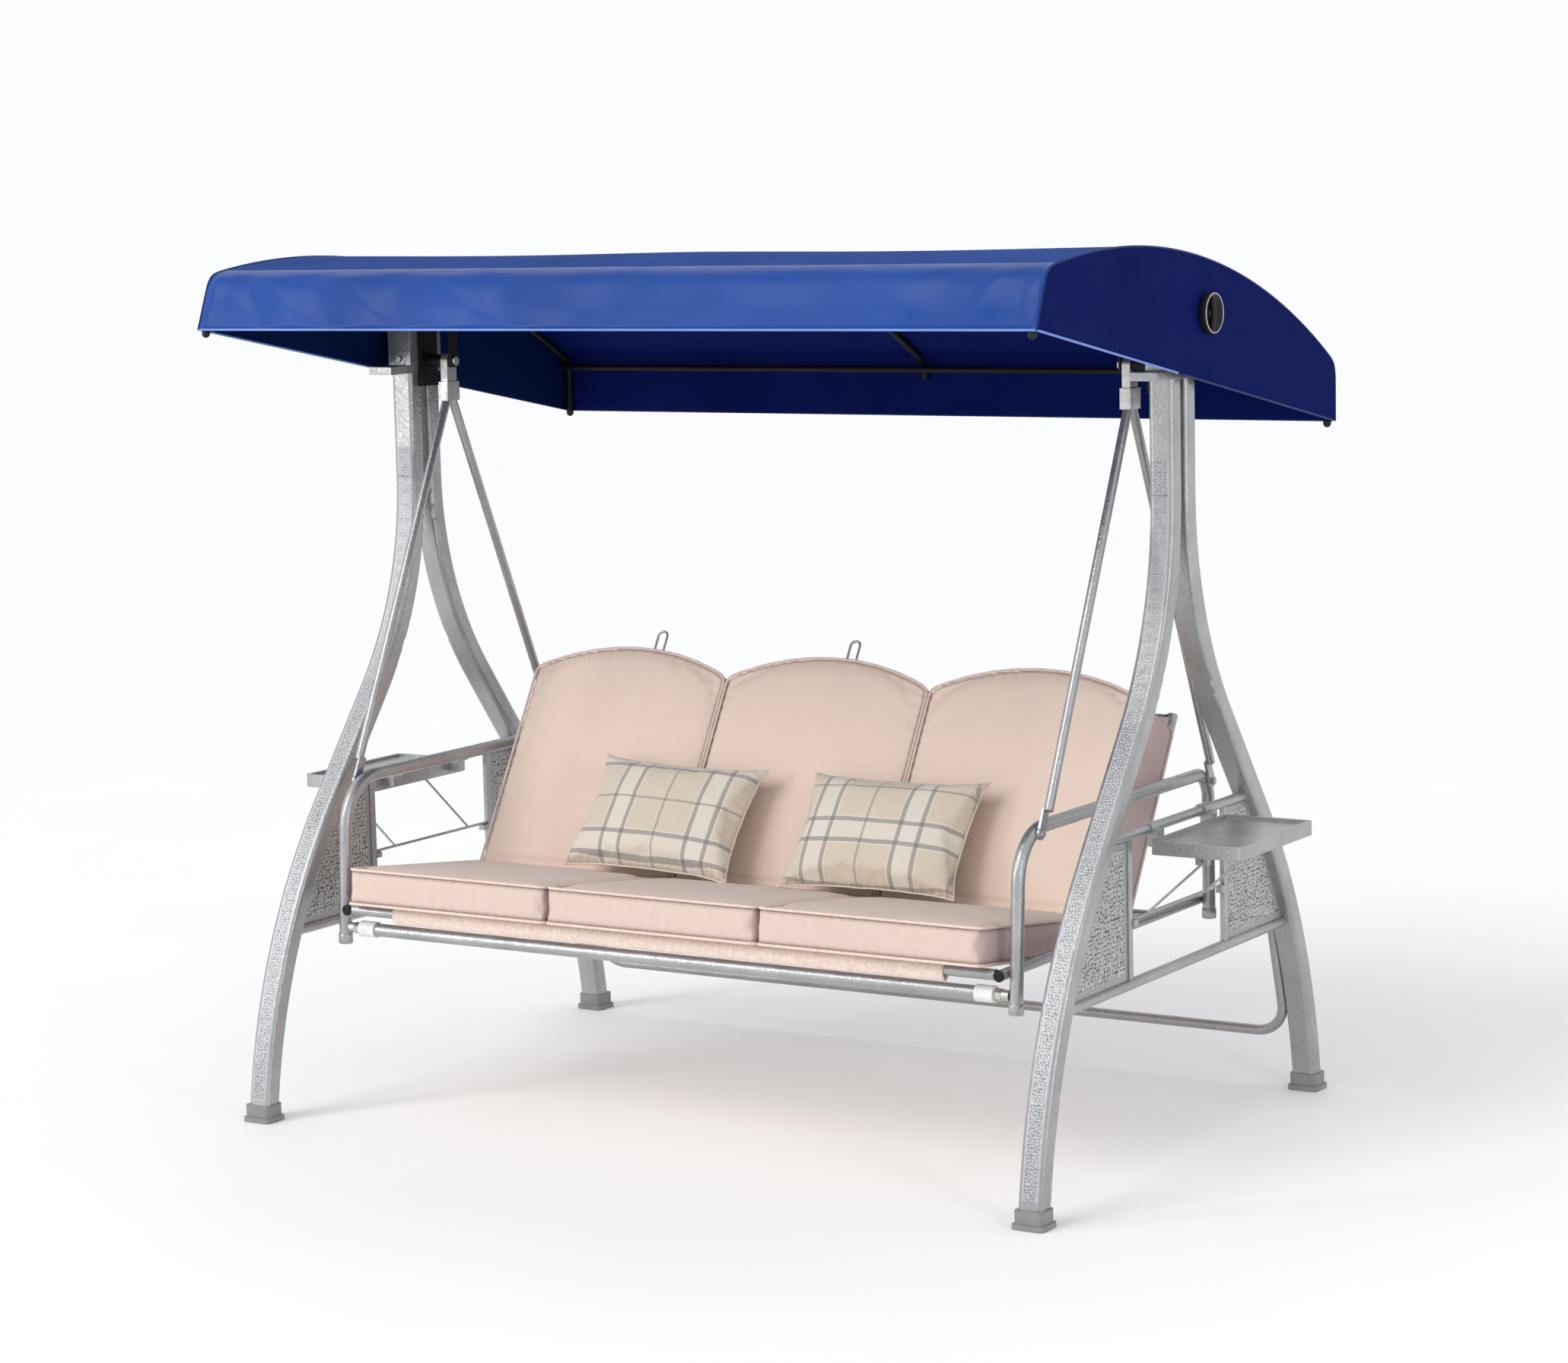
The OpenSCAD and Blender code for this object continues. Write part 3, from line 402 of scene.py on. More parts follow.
def piping_cloth(name, colour):
    paint = Paint(name, colour, 0.75, Sheen_Weight=0.2)
    twist = paint.ramp(paint.noise(130.0, 3), 0.35, 0.65)
    shade = paint.blend(twist, tinted(colour, 0.84), colour)
    return paint.use(Base_Color=shade, Normal=paint.bump(paint.noise(380.0, 2), 0.4, 0.0004))


def plaid_cloth(name, phase):
    """Cream check: pairs of broad grey lines, one fine line midway between pairs."""
    repeat, half_pair, broad, fine = 0.214, 0.024, 0.0055, 0.0032
    cream, pale, grey = (0.67, 0.575, 0.465), (0.78, 0.73, 0.645), (0.16, 0.155, 0.165)
    paint = Paint(name, cream, 0.85, Sheen_Weight=0.25, Sheen_Roughness=0.5)
    wobble = paint.times(paint.maths("SUBTRACT", paint.noise(14.0, 2), 0.5), 0.004)
    ribs = paint.noise(900.0, 1)

    def bands(name, start):
        at = paint.maths("ADD", paint.axis(name), wobble)
        turn = paint.maths("DIVIDE", paint.maths("SUBTRACT", at, start), repeat)
        part = paint.maths("FRACT", paint.maths("ADD", turn, 0.5))
        part = paint.maths("SUBTRACT", part, 0.5)
        off = paint.times(paint.maths("ABSOLUTE", part), repeat)
        from_line = paint.maths("ABSOLUTE", paint.maths("SUBTRACT", off, half_pair))
        line = paint.ramp(from_line, broad, broad - 0.0012)
        thin = paint.ramp(off, repeat / 2 - fine, repeat / 2 - fine + 0.001, 0.0, 0.8)
        inside = paint.ramp(off, half_pair - broad, half_pair - broad - 0.001)
        beside = paint.ramp(from_line, broad + 0.0035, broad + 0.002)
        return paint.maths("MAXIMUM", line, thin), paint.maths("MAXIMUM", inside, beside)

    shade = cream
    found = [bands("X", phase[0]), bands("Z", phase[1])]
    for _, light in found:
        shade = paint.over(shade, light, 0.6, pale)
    thread = paint.ramp(ribs, 0.4, 0.6, 0.62, 0.8)
    for line, _ in found:
        shade = paint.over(shade, line, paint.times(thread, 0.85), grey)
    slub = paint.ramp(paint.noise(190.0, 4, 0.7), 0.5, 0.75)
    shade = paint.over(shade, slub, 0.12, (0.4, 0.36, 0.3))
    height = paint.maths("ADD", weave(paint, 0.0026), paint.noise(260.0, 3))
    return paint.use(Base_Color=shade, Normal=paint.bump(height, 0.4, 0.0005))


def canopy_cloth(name, colour, roughness, gloss):
    """Coated polyester: a fine weave under a satin face, with soft clouding."""
    paint = Paint(name, colour, roughness, Specular_IOR_Level=gloss)
    cloud = paint.ramp(paint.noise(3.5, 3), 0.3, 0.7)
    shade = paint.blend(cloud, tinted(colour, 0.88), tinted(colour, 1.08))
    rough = paint.ramp(paint.noise(12.0, 3), 0.3, 0.7, roughness - 0.04, roughness + 0.05)
    height = paint.maths("ADD", weave(paint, 0.0016, "XY"), paint.noise(320.0, 2))
    return paint.use(Base_Color=shade, Roughness=rough, Normal=paint.bump(height, 0.12, 0.0003))


# ---- Mesh helpers ----


def mesh_object(name, points, faces, materials=(), smooth=True, matrix=None):
    mesh = bpy.data.meshes.new(name)
    mesh.from_pydata([tuple(p) for p in points], [], faces)
    mesh.validate()
    mesh.update()
    obj = bpy.data.objects.new(name, mesh)
    scene.collection.objects.link(obj)
    for m in materials:
        mesh.materials.append(m)
    mesh.shade_smooth() if smooth else mesh.shade_flat()
    if matrix is not None:
        obj.matrix_world = matrix
    return obj


def read(items, name):
    """That vector of every item, as rows of x, y and z."""
    values = np.empty(len(items) * 3)
    items.foreach_get(name, values)
    return values.reshape(-1, 3)


def points_of(mesh):
    return read(mesh.vertices, "co")


def normals_of(mesh):
    return read(mesh.vertex_normals, "vector")


def move_points(mesh, co):
    mesh.vertices.foreach_set("co", np.ascontiguousarray(co, np.float32).ravel())
    mesh.update()


def mark(mesh, name, values):
    attribute = mesh.attributes.get(name) or mesh.attributes.new(name, "FLOAT", "POINT")
    attribute.data.foreach_set("value", np.asarray(values, np.float32))


def bake_modifiers(obj):
    """Replaces obj's mesh by what its modifiers make of it."""
    bpy.context.view_layer.update()
    made = bpy.data.meshes.new_from_object(obj.evaluated_get(bpy.context.evaluated_depsgraph_get()))
    obj.modifiers.clear()
    obj.data = made


def carry(pieces, body):
    """Each piece moves with body."""
    for piece in pieces:
        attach(piece, body)


def dress(obj, material):
    """Gives obj that one material, and smooth shading."""
    obj.data.materials.clear()
    obj.data.materials.append(material)
    obj.data.shade_smooth()


def run_along(line):
    """Distance of each point from the start of the line."""
    return np.concatenate([[0], np.cumsum(np.linalg.norm(np.diff(line, axis=0), axis=1))])


def grid_faces(rows, columns, wrap=False):
    faces = []
    for i in range(rows - 1):
        for j in range(columns if wrap else columns - 1):
            a, b = i * columns + j, i * columns + (j + 1) % columns
            faces.append((a, b, b + columns, a + columns))
    return faces


def ring_faces(rings, sides):
    """Faces between rings of points, and across the first and the last ring."""
    last = (rings - 1) * sides
    ends = [tuple(range(sides))[::-1], tuple(range(last, last + sides))]
    return grid_faces(rings, sides, wrap=True) + ends


def sweep(path, radius, sides=10, closed=False):
    """Points and faces of a round tube along path; open ends are domed."""
    path = np.asarray(path, float)
    n = len(path)
    tangent = np.roll(path, -1, 0) - np.roll(path, 1, 0)
    if not closed:
        tangent[0], tangent[-1] = path[1] - path[0], path[-1] - path[-2]
    tangent /= np.linalg.norm(tangent, axis=1)[:, None]
    aside = np.cross(tangent[0], (0, 0, 1) if abs(tangent[0][2]) < 0.9 else (1, 0, 0))
    turn = np.arange(sides) * 2 * math.pi / sides
    rings = []
    for i in range(n):
        aside = aside - tangent[i] * np.dot(aside, tangent[i])
        aside /= np.linalg.norm(aside)
        up = np.cross(tangent[i], aside)
        ring = np.outer(np.cos(turn), aside) + np.outer(np.sin(turn), up)
        rings.append(path[i] + radius * ring)
    if not closed:
        for end, way in ((0, -1), (-1, 1)):
            cap = path[end] + (rings[end] - path[end]) * 0.6 + way * tangent[end] * radius * 0.6
            rings.insert(0, cap) if end == 0 else rings.append(cap)
    if not closed:
        return np.concatenate(rings), ring_faces(n + 2, sides)
    faces = grid_faces(n, sides, wrap=True)
    last = (n - 1) * sides
    faces += [(last + j, last + (j + 1) % sides, (j + 1) % sides, j) for j in range(sides)]
    return np.concatenate(rings), faces


def tubes(name, paths, radius, material, closed=False, sides=10, matrix=None):
    """Several swept tubes in one piece."""
    points, faces = [], []
    for path in paths:
        start = sum(map(len, points))
        p, f = sweep(path, radius, sides, closed)
        faces += [tuple(start + i for i in face) for face in f]
        points.append(p)
    return mesh_object(name, np.concatenate(points), faces, [material], matrix=matrix)


def lathe_x(name, profile, centre, material, side, sides):
    """A turned piece on an axis along X; profile is (distance outward, radius) pairs."""
    turn = np.arange(sides) * 2 * math.pi / sides
    points = []
    for x, r in profile:
        ring = np.stack([np.full(sides, side * x), r * np.cos(turn), r * np.sin(turn)], 1)
        points.append(ring + np.array(centre))
    faces = ring_faces(len(profile), sides)
    if side > 0:
        faces = [face[::-1] for face in faces]
    return mesh_object(name, np.concatenate(points), faces, [material])


def smooth_step(t):
    t = np.clip(t, 0, 1)
    return t * t * (3 - 2 * t)


def cellular(p, q, pitch, seed):
    """Nearest and second nearest distances, in pitches, to the points of a jittered grid."""
    p, q = np.asarray(p) / pitch, np.asarray(q) / pitch
    low_p, low_q = math.floor(p.min()) - 2, math.floor(q.min()) - 2
    size = (math.ceil(p.max()) - low_p + 4, math.ceil(q.max()) - low_q + 4)
    jitter = np.random.RandomState(seed).rand(2, *size)
    base_p, base_q = np.floor(p).astype(int), np.floor(q).astype(int)
    near = np.full((2,) + p.shape, 9.0)
    for i in (-1, 0, 1):
        for j in (-1, 0, 1):
            a, b = base_p + i, base_q + j
            dp = a + 0.12 + 0.76 * jitter[0][a - low_p, b - low_q] - p
            dq = b + 0.12 + 0.76 * jitter[1][a - low_p, b - low_q] - q
            d = np.hypot(dp, dq)
            near[1] = np.minimum(near[1], np.maximum(near[0], d))
            near[0] = np.minimum(near[0], d)
    return near


def soft_noise(points, scale, seed):
    """Smooth noise from -1 to 1, the same each run."""
    random = np.random.RandomState(seed)
    total = np.zeros(len(points))
    for _ in range(7):
        way = random.normal(size=3)
        way *= scale / np.linalg.norm(way) * (0.6 + 0.8 * random.rand())
        total += np.sin(points @ way * 2 * math.pi + random.rand() * 2 * math.pi)
    return total / 7


# ---- Stand ----


def leg_line(count):
    """Points (y, z) down a rear leg's centre line and the outward normal at each."""
    top = TOP_R * MID_LEAN
    spots = []
    for part in np.linspace(0, 1, count):
        length = part * (top + MID_LEN + LOW_R * (MID_LEAN - FOOT_LEAN))
        turn = min(length / TOP_R, MID_LEAN) - max(0, length - top - MID_LEN) / LOW_R
        normal = np.array([math.cos(turn), math.sin(turn)])
        if length < top:
            spot = TOP_CENTRE - TOP_R * normal
        elif length < top + MID_LEN:
            spot = MID_END + (MID_START - MID_END) * ((length - top) / MID_LEN)
        else:
            spot = LOW_CENTRE + LOW_R * normal
        spots.append((spot, normal))
    return spots


def leg_strip(side, name):
    """The stamped strip down the front face of a front leg, with a plain raised edge."""
    half, edge, lift, low = 0.0185, 0.0035, 0.0014, 0.046
    spots = [s for s in leg_line(760) if s[0][1] > low]
    top_z = TOP_CENTRE[1]
    column = [(np.array([TOP_CENTRE[0] - TOP_R, z]), np.array([1.0, 0.0]))
              for z in np.arange(top_z + 0.07, top_z, -0.002)]
    spots = column + spots
    across = np.linspace(-half, half, 21)
    length = np.cumsum([0] + [np.linalg.norm(b[0] - a[0]) for a, b in zip(spots, spots[1:])])
    u, v = np.meshgrid(across, length)
    near = cellular(u, v, 0.0062, 11 + side)
    pebble = smooth_step((near[1] - near[0]) / 0.42)
    rim = smooth_step((half - edge - np.abs(u)) / 0.0012)
    ends = smooth_step(np.minimum(v, length[-1] - v) / 0.004)
    plateau = smooth_step((half - np.abs(u)) / 0.0016) * ends
    height = plateau * (lift - rim * 0.0009 * (1 - pebble)) - 0.0006
    points = []
    for i, (spot, normal) in enumerate(spots):
        for j in range(len(across)):
            y, z = spot + normal * (LEG_D / 2 + height[i, j])
            points.append((side * (LEG_X + across[j]), -y, z))
    faces = grid_faces(len(spots), len(across))
    if side < 0:
        faces = [f[::-1] for f in faces]
    obj = mesh_object(name, points, faces, [PAINTS["embossed"]])
    # relief is low in the hollows, where the paint puts painted shade.
    mark(obj.data, "relief", (1 - rim * (1 - pebble)).ravel())
    carry([obj], "stand")


def panel_edge(z):
    """Distance from the middle of a leg's inner face at height z."""
    if z < MID_START[1]:
        return LOW_CENTRE[0] + math.sqrt((LOW_R - LEG_D / 2) ** 2 - (z - LOW_CENTRE[1]) ** 2)
    return MID_START[0] - (z - MID_START[1]) * math.tan(MID_LEAN) - LEG_D / 2 / math.cos(MID_LEAN)


def pebble_panel(side, end, name):
    """Infill plate with pebbles on both faces and a plain border."""
    border, rise, step = 0.011, 0.0022, 0.0030
    rows = np.arange(BRACE_TOP - 0.002, BAR_UNDER + 0.002, step)
    widest = panel_edge(BRACE_TOP) - STILE_EDGE
    columns = int(widest / step)
    parts = np.linspace(0, 1, columns)
    reach = [panel_edge(z) + 0.002 - STILE_EDGE for z in rows]
    y = np.array([[STILE_EDGE + r * t for t in parts] for r in reach])
    z = np.repeat(rows[:, None], columns, 1)
    room = np.minimum(y - STILE_EDGE, y[:, -1:] - y)
    room = np.minimum(room, np.minimum(z - BRACE_TOP, BAR_UNDER - z))
    inner = smooth_step((room - border) / 0.004)
    near = cellular(y, z, 0.0088, 31 + 2 * side + end)
    pebble = smooth_step((near[1] - near[0]) / 0.36) * (1 - 0.35 * near[0])
    height = PANEL_T / 2 + inner * (rise * pebble - 0.0008)
    count = len(rows) * columns
    points = []
    for face in (1, -1):
        x = LEG_X + face * height
        points.append(np.stack([side * x, end * y, z], -1).reshape(-1, 3))
    faces = grid_faces(len(rows), columns)
    loop = [j for j in range(columns)] + [i * columns + columns - 1 for i in range(1, len(rows))]
    loop += [(len(rows) - 1) * columns + j for j in range(columns - 2, -1, -1)]
    loop += [i * columns for i in range(len(rows) - 2, 0, -1)]
    faces += [tuple(count + i for i in f[::-1]) for f in faces]
    faces += [(b, a, count + a, count + b) for a, b in zip(loop, loop[1:] + loop[:1])]
    if side * end < 0:
        faces = [f[::-1] for f in faces]
    obj = mesh_object(name, np.concatenate(points), faces, [PAINTS["pebbled"]])
    # relief is low in the hollows between pebbles, where the paint puts painted shade.
    mark(obj.data, "relief", np.tile(pebble.ravel(), 2))
    mark(obj.data, "border", np.tile(1 - inner.ravel(), 2))
    carry([obj], "stand")
    return obj


def make_stand():
    for side, word in SIDES:
        leg_strip(side, f"leg_strip_{word}")
        panels = [
            pebble_panel(side, end, f"infill_{place}_{word}")
            for end, place in ((-1, "front"), (1, "rear"))
        ]
        if side > 0:
            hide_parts("mesh_panels")


def make_knob(side, word):
    """Black tilt knob: a dished face with a grip bar, a bright rim and a fluted edge."""
    base = CANOPY_END + 0.0018
    top = CANOPY_END + KNOB_T
    profile = [
        (base, 0.006), (base + 0.0002, 0.030), (base + 0.001, KNOB_R - 0.006),
        (base + 0.004, KNOB_R - 0.002), (base + 0.008, KNOB_R - 0.001),
        (top - 0.004, KNOB_R - 0.001), (top - 0.001, KNOB_R - 0.002), (top, KNOB_R - 0.004),
        (top - 0.0015, KNOB_R - 0.007), (top - 0.006, KNOB_R - 0.012), (top - 0.009, 0.018),
        (top - 0.010, 0.001),
    ]
    centre = (0, PIVOT.y, PIVOT.z)
    knob = lathe_x(f"knob_dish_{word}", profile, centre, PAINTS["black_plastic"], side, 96)
    co = points_of(knob.data)
    arm = co - np.array(centre)
    radius = np.hypot(arm[:, 1], arm[:, 2])
    turn = np.arctan2(arm[:, 2], arm[:, 1])
    flute = (radius > KNOB_R - 0.004) * (0.5 - 0.5 * np.cos(turn * 24)) * 0.0012
    scale = 1 - flute / np.maximum(radius, 1e-6)
    co[:, 1:] = np.array(centre)[1:] + arm[:, 1:] * scale[:, None]
    move_points(knob.data, co)
    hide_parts(f"tilt_knob_{word}")
    rim_turn = np.linspace(0, 2 * math.pi, 72, endpoint=False)
    rim_r = KNOB_R - 0.0032
    rim_path = [
        (side * (top - 0.0004), centre[1] + rim_r * math.cos(t), centre[2] + rim_r * math.sin(t))
        for t in rim_turn
    ]
    rim = tubes(f"knob_rim_{word}", [rim_path], 0.0011, PAINTS["bright"], closed=True, sides=10)
    grip_path = [
        (side * (top - 0.006 + 0.003 * math.cos(t * math.pi / 2)), centre[1], centre[2] + 0.026 * t)
        for t in np.linspace(-1, 1, 17)
    ]
    grip = tubes(f"knob_grip_{word}", [grip_path], 0.0055, PAINTS["black_plastic"], sides=14)
    for piece, slot in ((knob, "black_plastic"), (rim, "zinc"), (grip, "black_plastic")):
        carry([piece], f"knob_{word}")


# ---- Canopy ----


def canopy_section(step=0.011):
    """Points (u, v) of the canopy's section, from the front hem over the top to the rear hem."""
    shoulder_v = HEM + VALANCE_H
    radius = (SHOULDER**2 + ARCH_RISE**2) / (2 * ARCH_RISE)
    centre_v = shoulder_v + ARCH_RISE - radius
    half_turn = math.asin(SHOULDER / radius)
    wall = math.hypot(CANOPY_HALF - SHOULDER, VALANCE_H)
    up = np.linspace(0, 1, int(wall / step) + 1)[:, None]
    front = np.array([-CANOPY_HALF, HEM]) + up * np.array([CANOPY_HALF - SHOULDER, VALANCE_H])
    turns = np.linspace(-half_turn, half_turn, int(2 * half_turn * radius / step))
    arch = np.stack([radius * np.sin(turns), centre_v + radius * np.cos(turns)], 1)
    rear = front[::-1] * (-1, 1)
    line = np.concatenate([front, arch[1:-1], rear])
    fold = (len(front), len(line) - len(front))
    for _ in range(5):
        line[1:-1] += 0.25 * (line[2:] - 2 * line[1:-1] + line[:-2])
    line[:, 0] += CANOPY_MID
    return line, fold


def ridge(x, w, start, slope, width, height, low, high):
    """One soft fold: w is 0 at the top of the valance and 1 at its hem."""
    at = (x - start - slope * w) / width
    window = smooth_step((w - low) / 0.25) * smooth_step((high - w) / 0.25)
    return height * np.exp(-at * at) * window


def canopy_top(line, fold, run):
    """The top and both valances as a grid of points, with sag, folds and puckered end seams."""
    columns = 161
    xs = CANOPY_END * np.linspace(-1, 1, columns)
    ahead = np.gradient(line, axis=0)
    ahead /= np.linalg.norm(ahead, axis=1)[:, None]
    outward = np.stack([-ahead[:, 1], ahead[:, 0]], 1)
    rows = len(line)
    u = np.repeat(line[:, :1], columns, 1)
    v = np.repeat(line[:, 1:], columns, 1)
    x = np.repeat(xs[None], rows, 0)
    row = np.arange(rows)[:, None] + 0 * x
    on_top = smooth_step((row - fold[0] - 1) / 10) * smooth_step((fold[1] - 1 - row) / 10)
    rest = np.abs(np.sin(math.pi * x / CANOPY_END))
    sag = -0.0035 * on_top * rest**1.5
    w_front = np.clip(1 - row / fold[0], 0, 1)
    w_rear = np.clip((row - fold[1]) / (rows - 1 - fold[1]), 0, 1)
    front = (row <= fold[0] + 3) * 1.0
    front_folds = (
        (-0.955, -0.02, 0.020, 0.0060), (-0.905, 0.10, 0.022, -0.0065),
        (-0.840, 0.12, 0.030, 0.0060), (-0.735, 0.11, 0.040, -0.0070),
        (-0.640, 0.14, 0.040, 0.0070), (-0.505, 0.06, 0.045, -0.0055),
        (-0.400, 0.15, 0.050, 0.0065), (-0.270, 0.10, 0.045, -0.0045),
        (-0.110, 0.08, 0.060, 0.0040), (0.080, -0.06, 0.060, -0.0030),
        (0.260, 0.12, 0.070, 0.0030), (0.470, 0.08, 0.080, -0.0028),
        (0.640, 0.10, 0.060, 0.0026), (0.800, -0.05, 0.040, -0.0030),
        (0.905, -0.06, 0.022, 0.0040), (0.952, -0.02, 0.013, -0.0040),
    )
    rear_folds = (
        (-0.8, -0.1, 0.05, 0.004), (-0.35, 0.12, 0.06, -0.004), (0.2, -0.12, 0.06, 0.004),
        (0.7, 0.1, 0.05, -0.005),
    )
    wrinkle = sum(ridge(x, w_front, *f, -0.02, 1.15) for f in front_folds) * front
    behind = row >= fold[1] - 3
    wrinkle = wrinkle + sum(ridge(x, w_rear, *f, -0.1, 1.15) for f in rear_folds) * behind
    hold = smooth_step((CANOPY_END - np.abs(x)) / 0.030)
    hem_hold = smooth_step(np.minimum(row, rows - 1 - row) / 3.0) * 0.8 + 0.2
    belly = 0.006 * np.sin(np.pi * np.clip(w_front, 0, 1)) * front
    lift = (sag + (wrinkle + belly) * hem_hold) * hold
    pucker = 0.0011 * np.sin(2 * math.pi * (run[:, None] / 0.021) + 1.5 * np.sin(run[:, None] * 31))
    lift += pucker * smooth_step(1 - (CANOPY_END - np.abs(x)) / 0.040) * hold * 2
    u = u + outward[:, :1] * lift
    v = v + outward[:, 1:] * lift
    return np.stack([x, u, v], -1)


def canopy_end(line, run, side):
    """One end of the cover: rows of points from below the arch's edge down to the hem line."""
    share = run / run[-1]
    base = np.stack([CANOPY_MID - CANOPY_HALF + 2 * CANOPY_HALF * share, np.full(len(run), HEM)], 1)
    t = np.linspace(0, 1, 23)[1:]
    plane = line[None] * (1 - t[:, None, None]) + base[None] * t[:, None, None]
    gap = np.linalg.norm(plane - line[None], axis=2)
    bulge = 0.0035 * np.sin(math.pi * t)[:, None] * np.sin(math.pi * share)[None]
    bulge = bulge + 0.0009 * np.sin(2 * math.pi * run / 0.024)[None] * np.exp(-gap / 0.02)
    bulge = bulge * (gap > 0.001)
    return np.concatenate([side * (CANOPY_END + bulge[..., None] - 0.0002), plane], -1)


def make_canopy():
    """The cover: one sheet over the top, the valances and both ends, with a hem all round."""
    line, fold = canopy_section()
    run = run_along(line)
    top = canopy_top(line, fold, run)
    rows, columns = top.shape[:2]
    points = [top.reshape(-1, 3)]
    faces = grid_faces(rows, columns)
    # Material 0 is the valance, 3 the lit copy on the top (painted light), 1 the shaded copy on the
    # ends (painted shade).
    kinds = [3 if fold[0] + 3 <= i < fold[1] - 4 else 0 for i in range(rows - 1)]
    kinds = [k for k in kinds for _ in range(columns - 1)]
    for side in (-1, 1):
        column = 0 if side < 0 else columns - 1
        start = sum(map(len, points))
        rings = canopy_end(line, run, side)
        points.append(rings.reshape(-1, 3))
        below = start + np.arange(len(rings) * rows).reshape(-1, rows)
        levels = np.concatenate([[np.arange(rows) * columns + column], below]).tolist()
        for upper, lower in zip(levels, levels[1:]):
            for i in range(rows - 1):
                quad = (upper[i], upper[i + 1], lower[i + 1], lower[i])
                faces.append(quad if side > 0 else quad[::-1])
                kinds.append(1)
    cover = mesh_object(
        "canopy_sheet", np.concatenate(points), faces,
        [PAINTS["canopy"], PAINTS["canopy_end"], PAINTS["canopy_under_shaded"], PAINTS["canopy_top"]],
        matrix=CANOPY,
    )
    weld = cover.modifiers.new("weld", "WELD")
    weld.merge_threshold = 0.0002
    cover.data.polygons.foreach_set("material_index", kinds)
    bake_modifiers(cover)
    thick = cover.modifiers.new("thickness", "SOLIDIFY")
    thick.thickness = 0.0014
    thick.offset = -1
    outer = len(cover.data.polygons)
    bake_modifiers(cover)
    # The inner faces take the dark inside copy: painted shade under the cover.
    for face in cover.data.polygons[outer:2 * outer]:
        face.material_index = 2
    cover.data.shade_smooth()
    carry([cover], "canopy")
    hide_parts("canopy_cover")
    trim = make_canopy_trim(line)


def make_canopy_trim(line):
    """Piping on the hem and on each end's arch seam: painted highlight at the front, painted shade
    elsewhere.
    """
    front, rear = CANOPY_MID - CANOPY_HALF, CANOPY_MID + CANOPY_HALF
    step = 0.02
    xs = np.arange(-CANOPY_END + 0.004, CANOPY_END - 0.003, step)
    ys = np.arange(front + 0.004, rear - 0.003, step)
    # The front part of the hem, which takes the painted highlight.
    pale = int(0.45 * len(ys))
    hem = [(-CANOPY_END, y, HEM) for y in ys[:pale][::-1]] + [(x, front, HEM) for x in xs]
    hem += [(CANOPY_END, y, HEM) for y in ys[:pale]]
    rest = [(CANOPY_END, y, HEM) for y in ys[pale:]] + [(x, rear, HEM) for x in xs[::-1]]
    rest += [(-CANOPY_END, y, HEM) for y in ys[pale:][::-1]]
    ends = [[(side * CANOPY_END, u, v) for u, v in line] for side in (-1, 1)]
    highlight_paint, shade_paint = PAINTS["canopy_piping_lit"], PAINTS["canopy_cord_shaded"]
    pieces = [
        tubes("canopy_hem", [hem], 0.0024, highlight_paint, matrix=CANOPY),
        tubes("canopy_hem_rear", [rest], 0.0022, shade_paint, matrix=CANOPY),
        tubes("canopy_seams", ends, 0.0021, shade_paint, sides=8, matrix=CANOPY),
    ]
    carry(pieces, "canopy")
    return pieces


# ---- Cushions ----


def rounded_loop(corners, radii, step):
    """A closed loop of points with rounded corners, in the plane of the corners."""
    corners = [np.array(c, float) for c in corners]
    loop = []
    count = len(corners)
    for i, corner in enumerate(corners):
        before, after = corners[i - 1] - corner, corners[(i + 1) % count] - corner
        before_u, after_u = before / np.linalg.norm(before), after / np.linalg.norm(after)
        half = math.acos(np.clip(np.dot(before_u, after_u), -1, 1)) / 2
        room = 0.45 * min(np.linalg.norm(before), np.linalg.norm(after))
        cut = min(radii[i] / math.tan(half), room)
        a, b = corner + before_u * cut, corner + after_u * cut
        pieces = max(2, int(2 * cut / step))
        for t in np.linspace(0, 1, pieces + 1):
            loop.append((1 - t) ** 2 * a + 2 * t * (1 - t) * corner + t * t * b)
        ahead = corners[(i + 1) % count] - b
        length = np.linalg.norm(ahead)
        for k in range(1, int(0.5 * length / step)):
            loop.append(b + ahead * (k * step / length))
    return np.array(loop)


def even_loop(loop, count):
    """The same closed loop with count points an even distance apart."""
    closed = np.concatenate([loop, loop[:1]])
    run = run_along(closed)
    at = np.linspace(0, run[-1], count, endpoint=False)
    return np.stack([np.interp(at, run, closed[:, k]) for k in range(closed.shape[1])], 1)


def pad_solid(name, first, second, matrix):
    """A closed solid between two loops of the same number of points."""
    n = len(first)
    points = np.concatenate([first, second])
    faces = [tuple(range(n)), tuple(range(2 * n - 1, n - 1, -1))]
    faces += [(i, n + i, n + (i + 1) % n, (i + 1) % n) for i in range(n)]
    obj = mesh_object(name, points, faces, matrix=matrix)
    bpy.context.view_layer.update()
    return obj


def remesh(obj, size):
    tool = obj.modifiers.new("remesh", "REMESH")
    tool.mode = "VOXEL"
    tool.voxel_size = size
    bake_modifiers(obj)


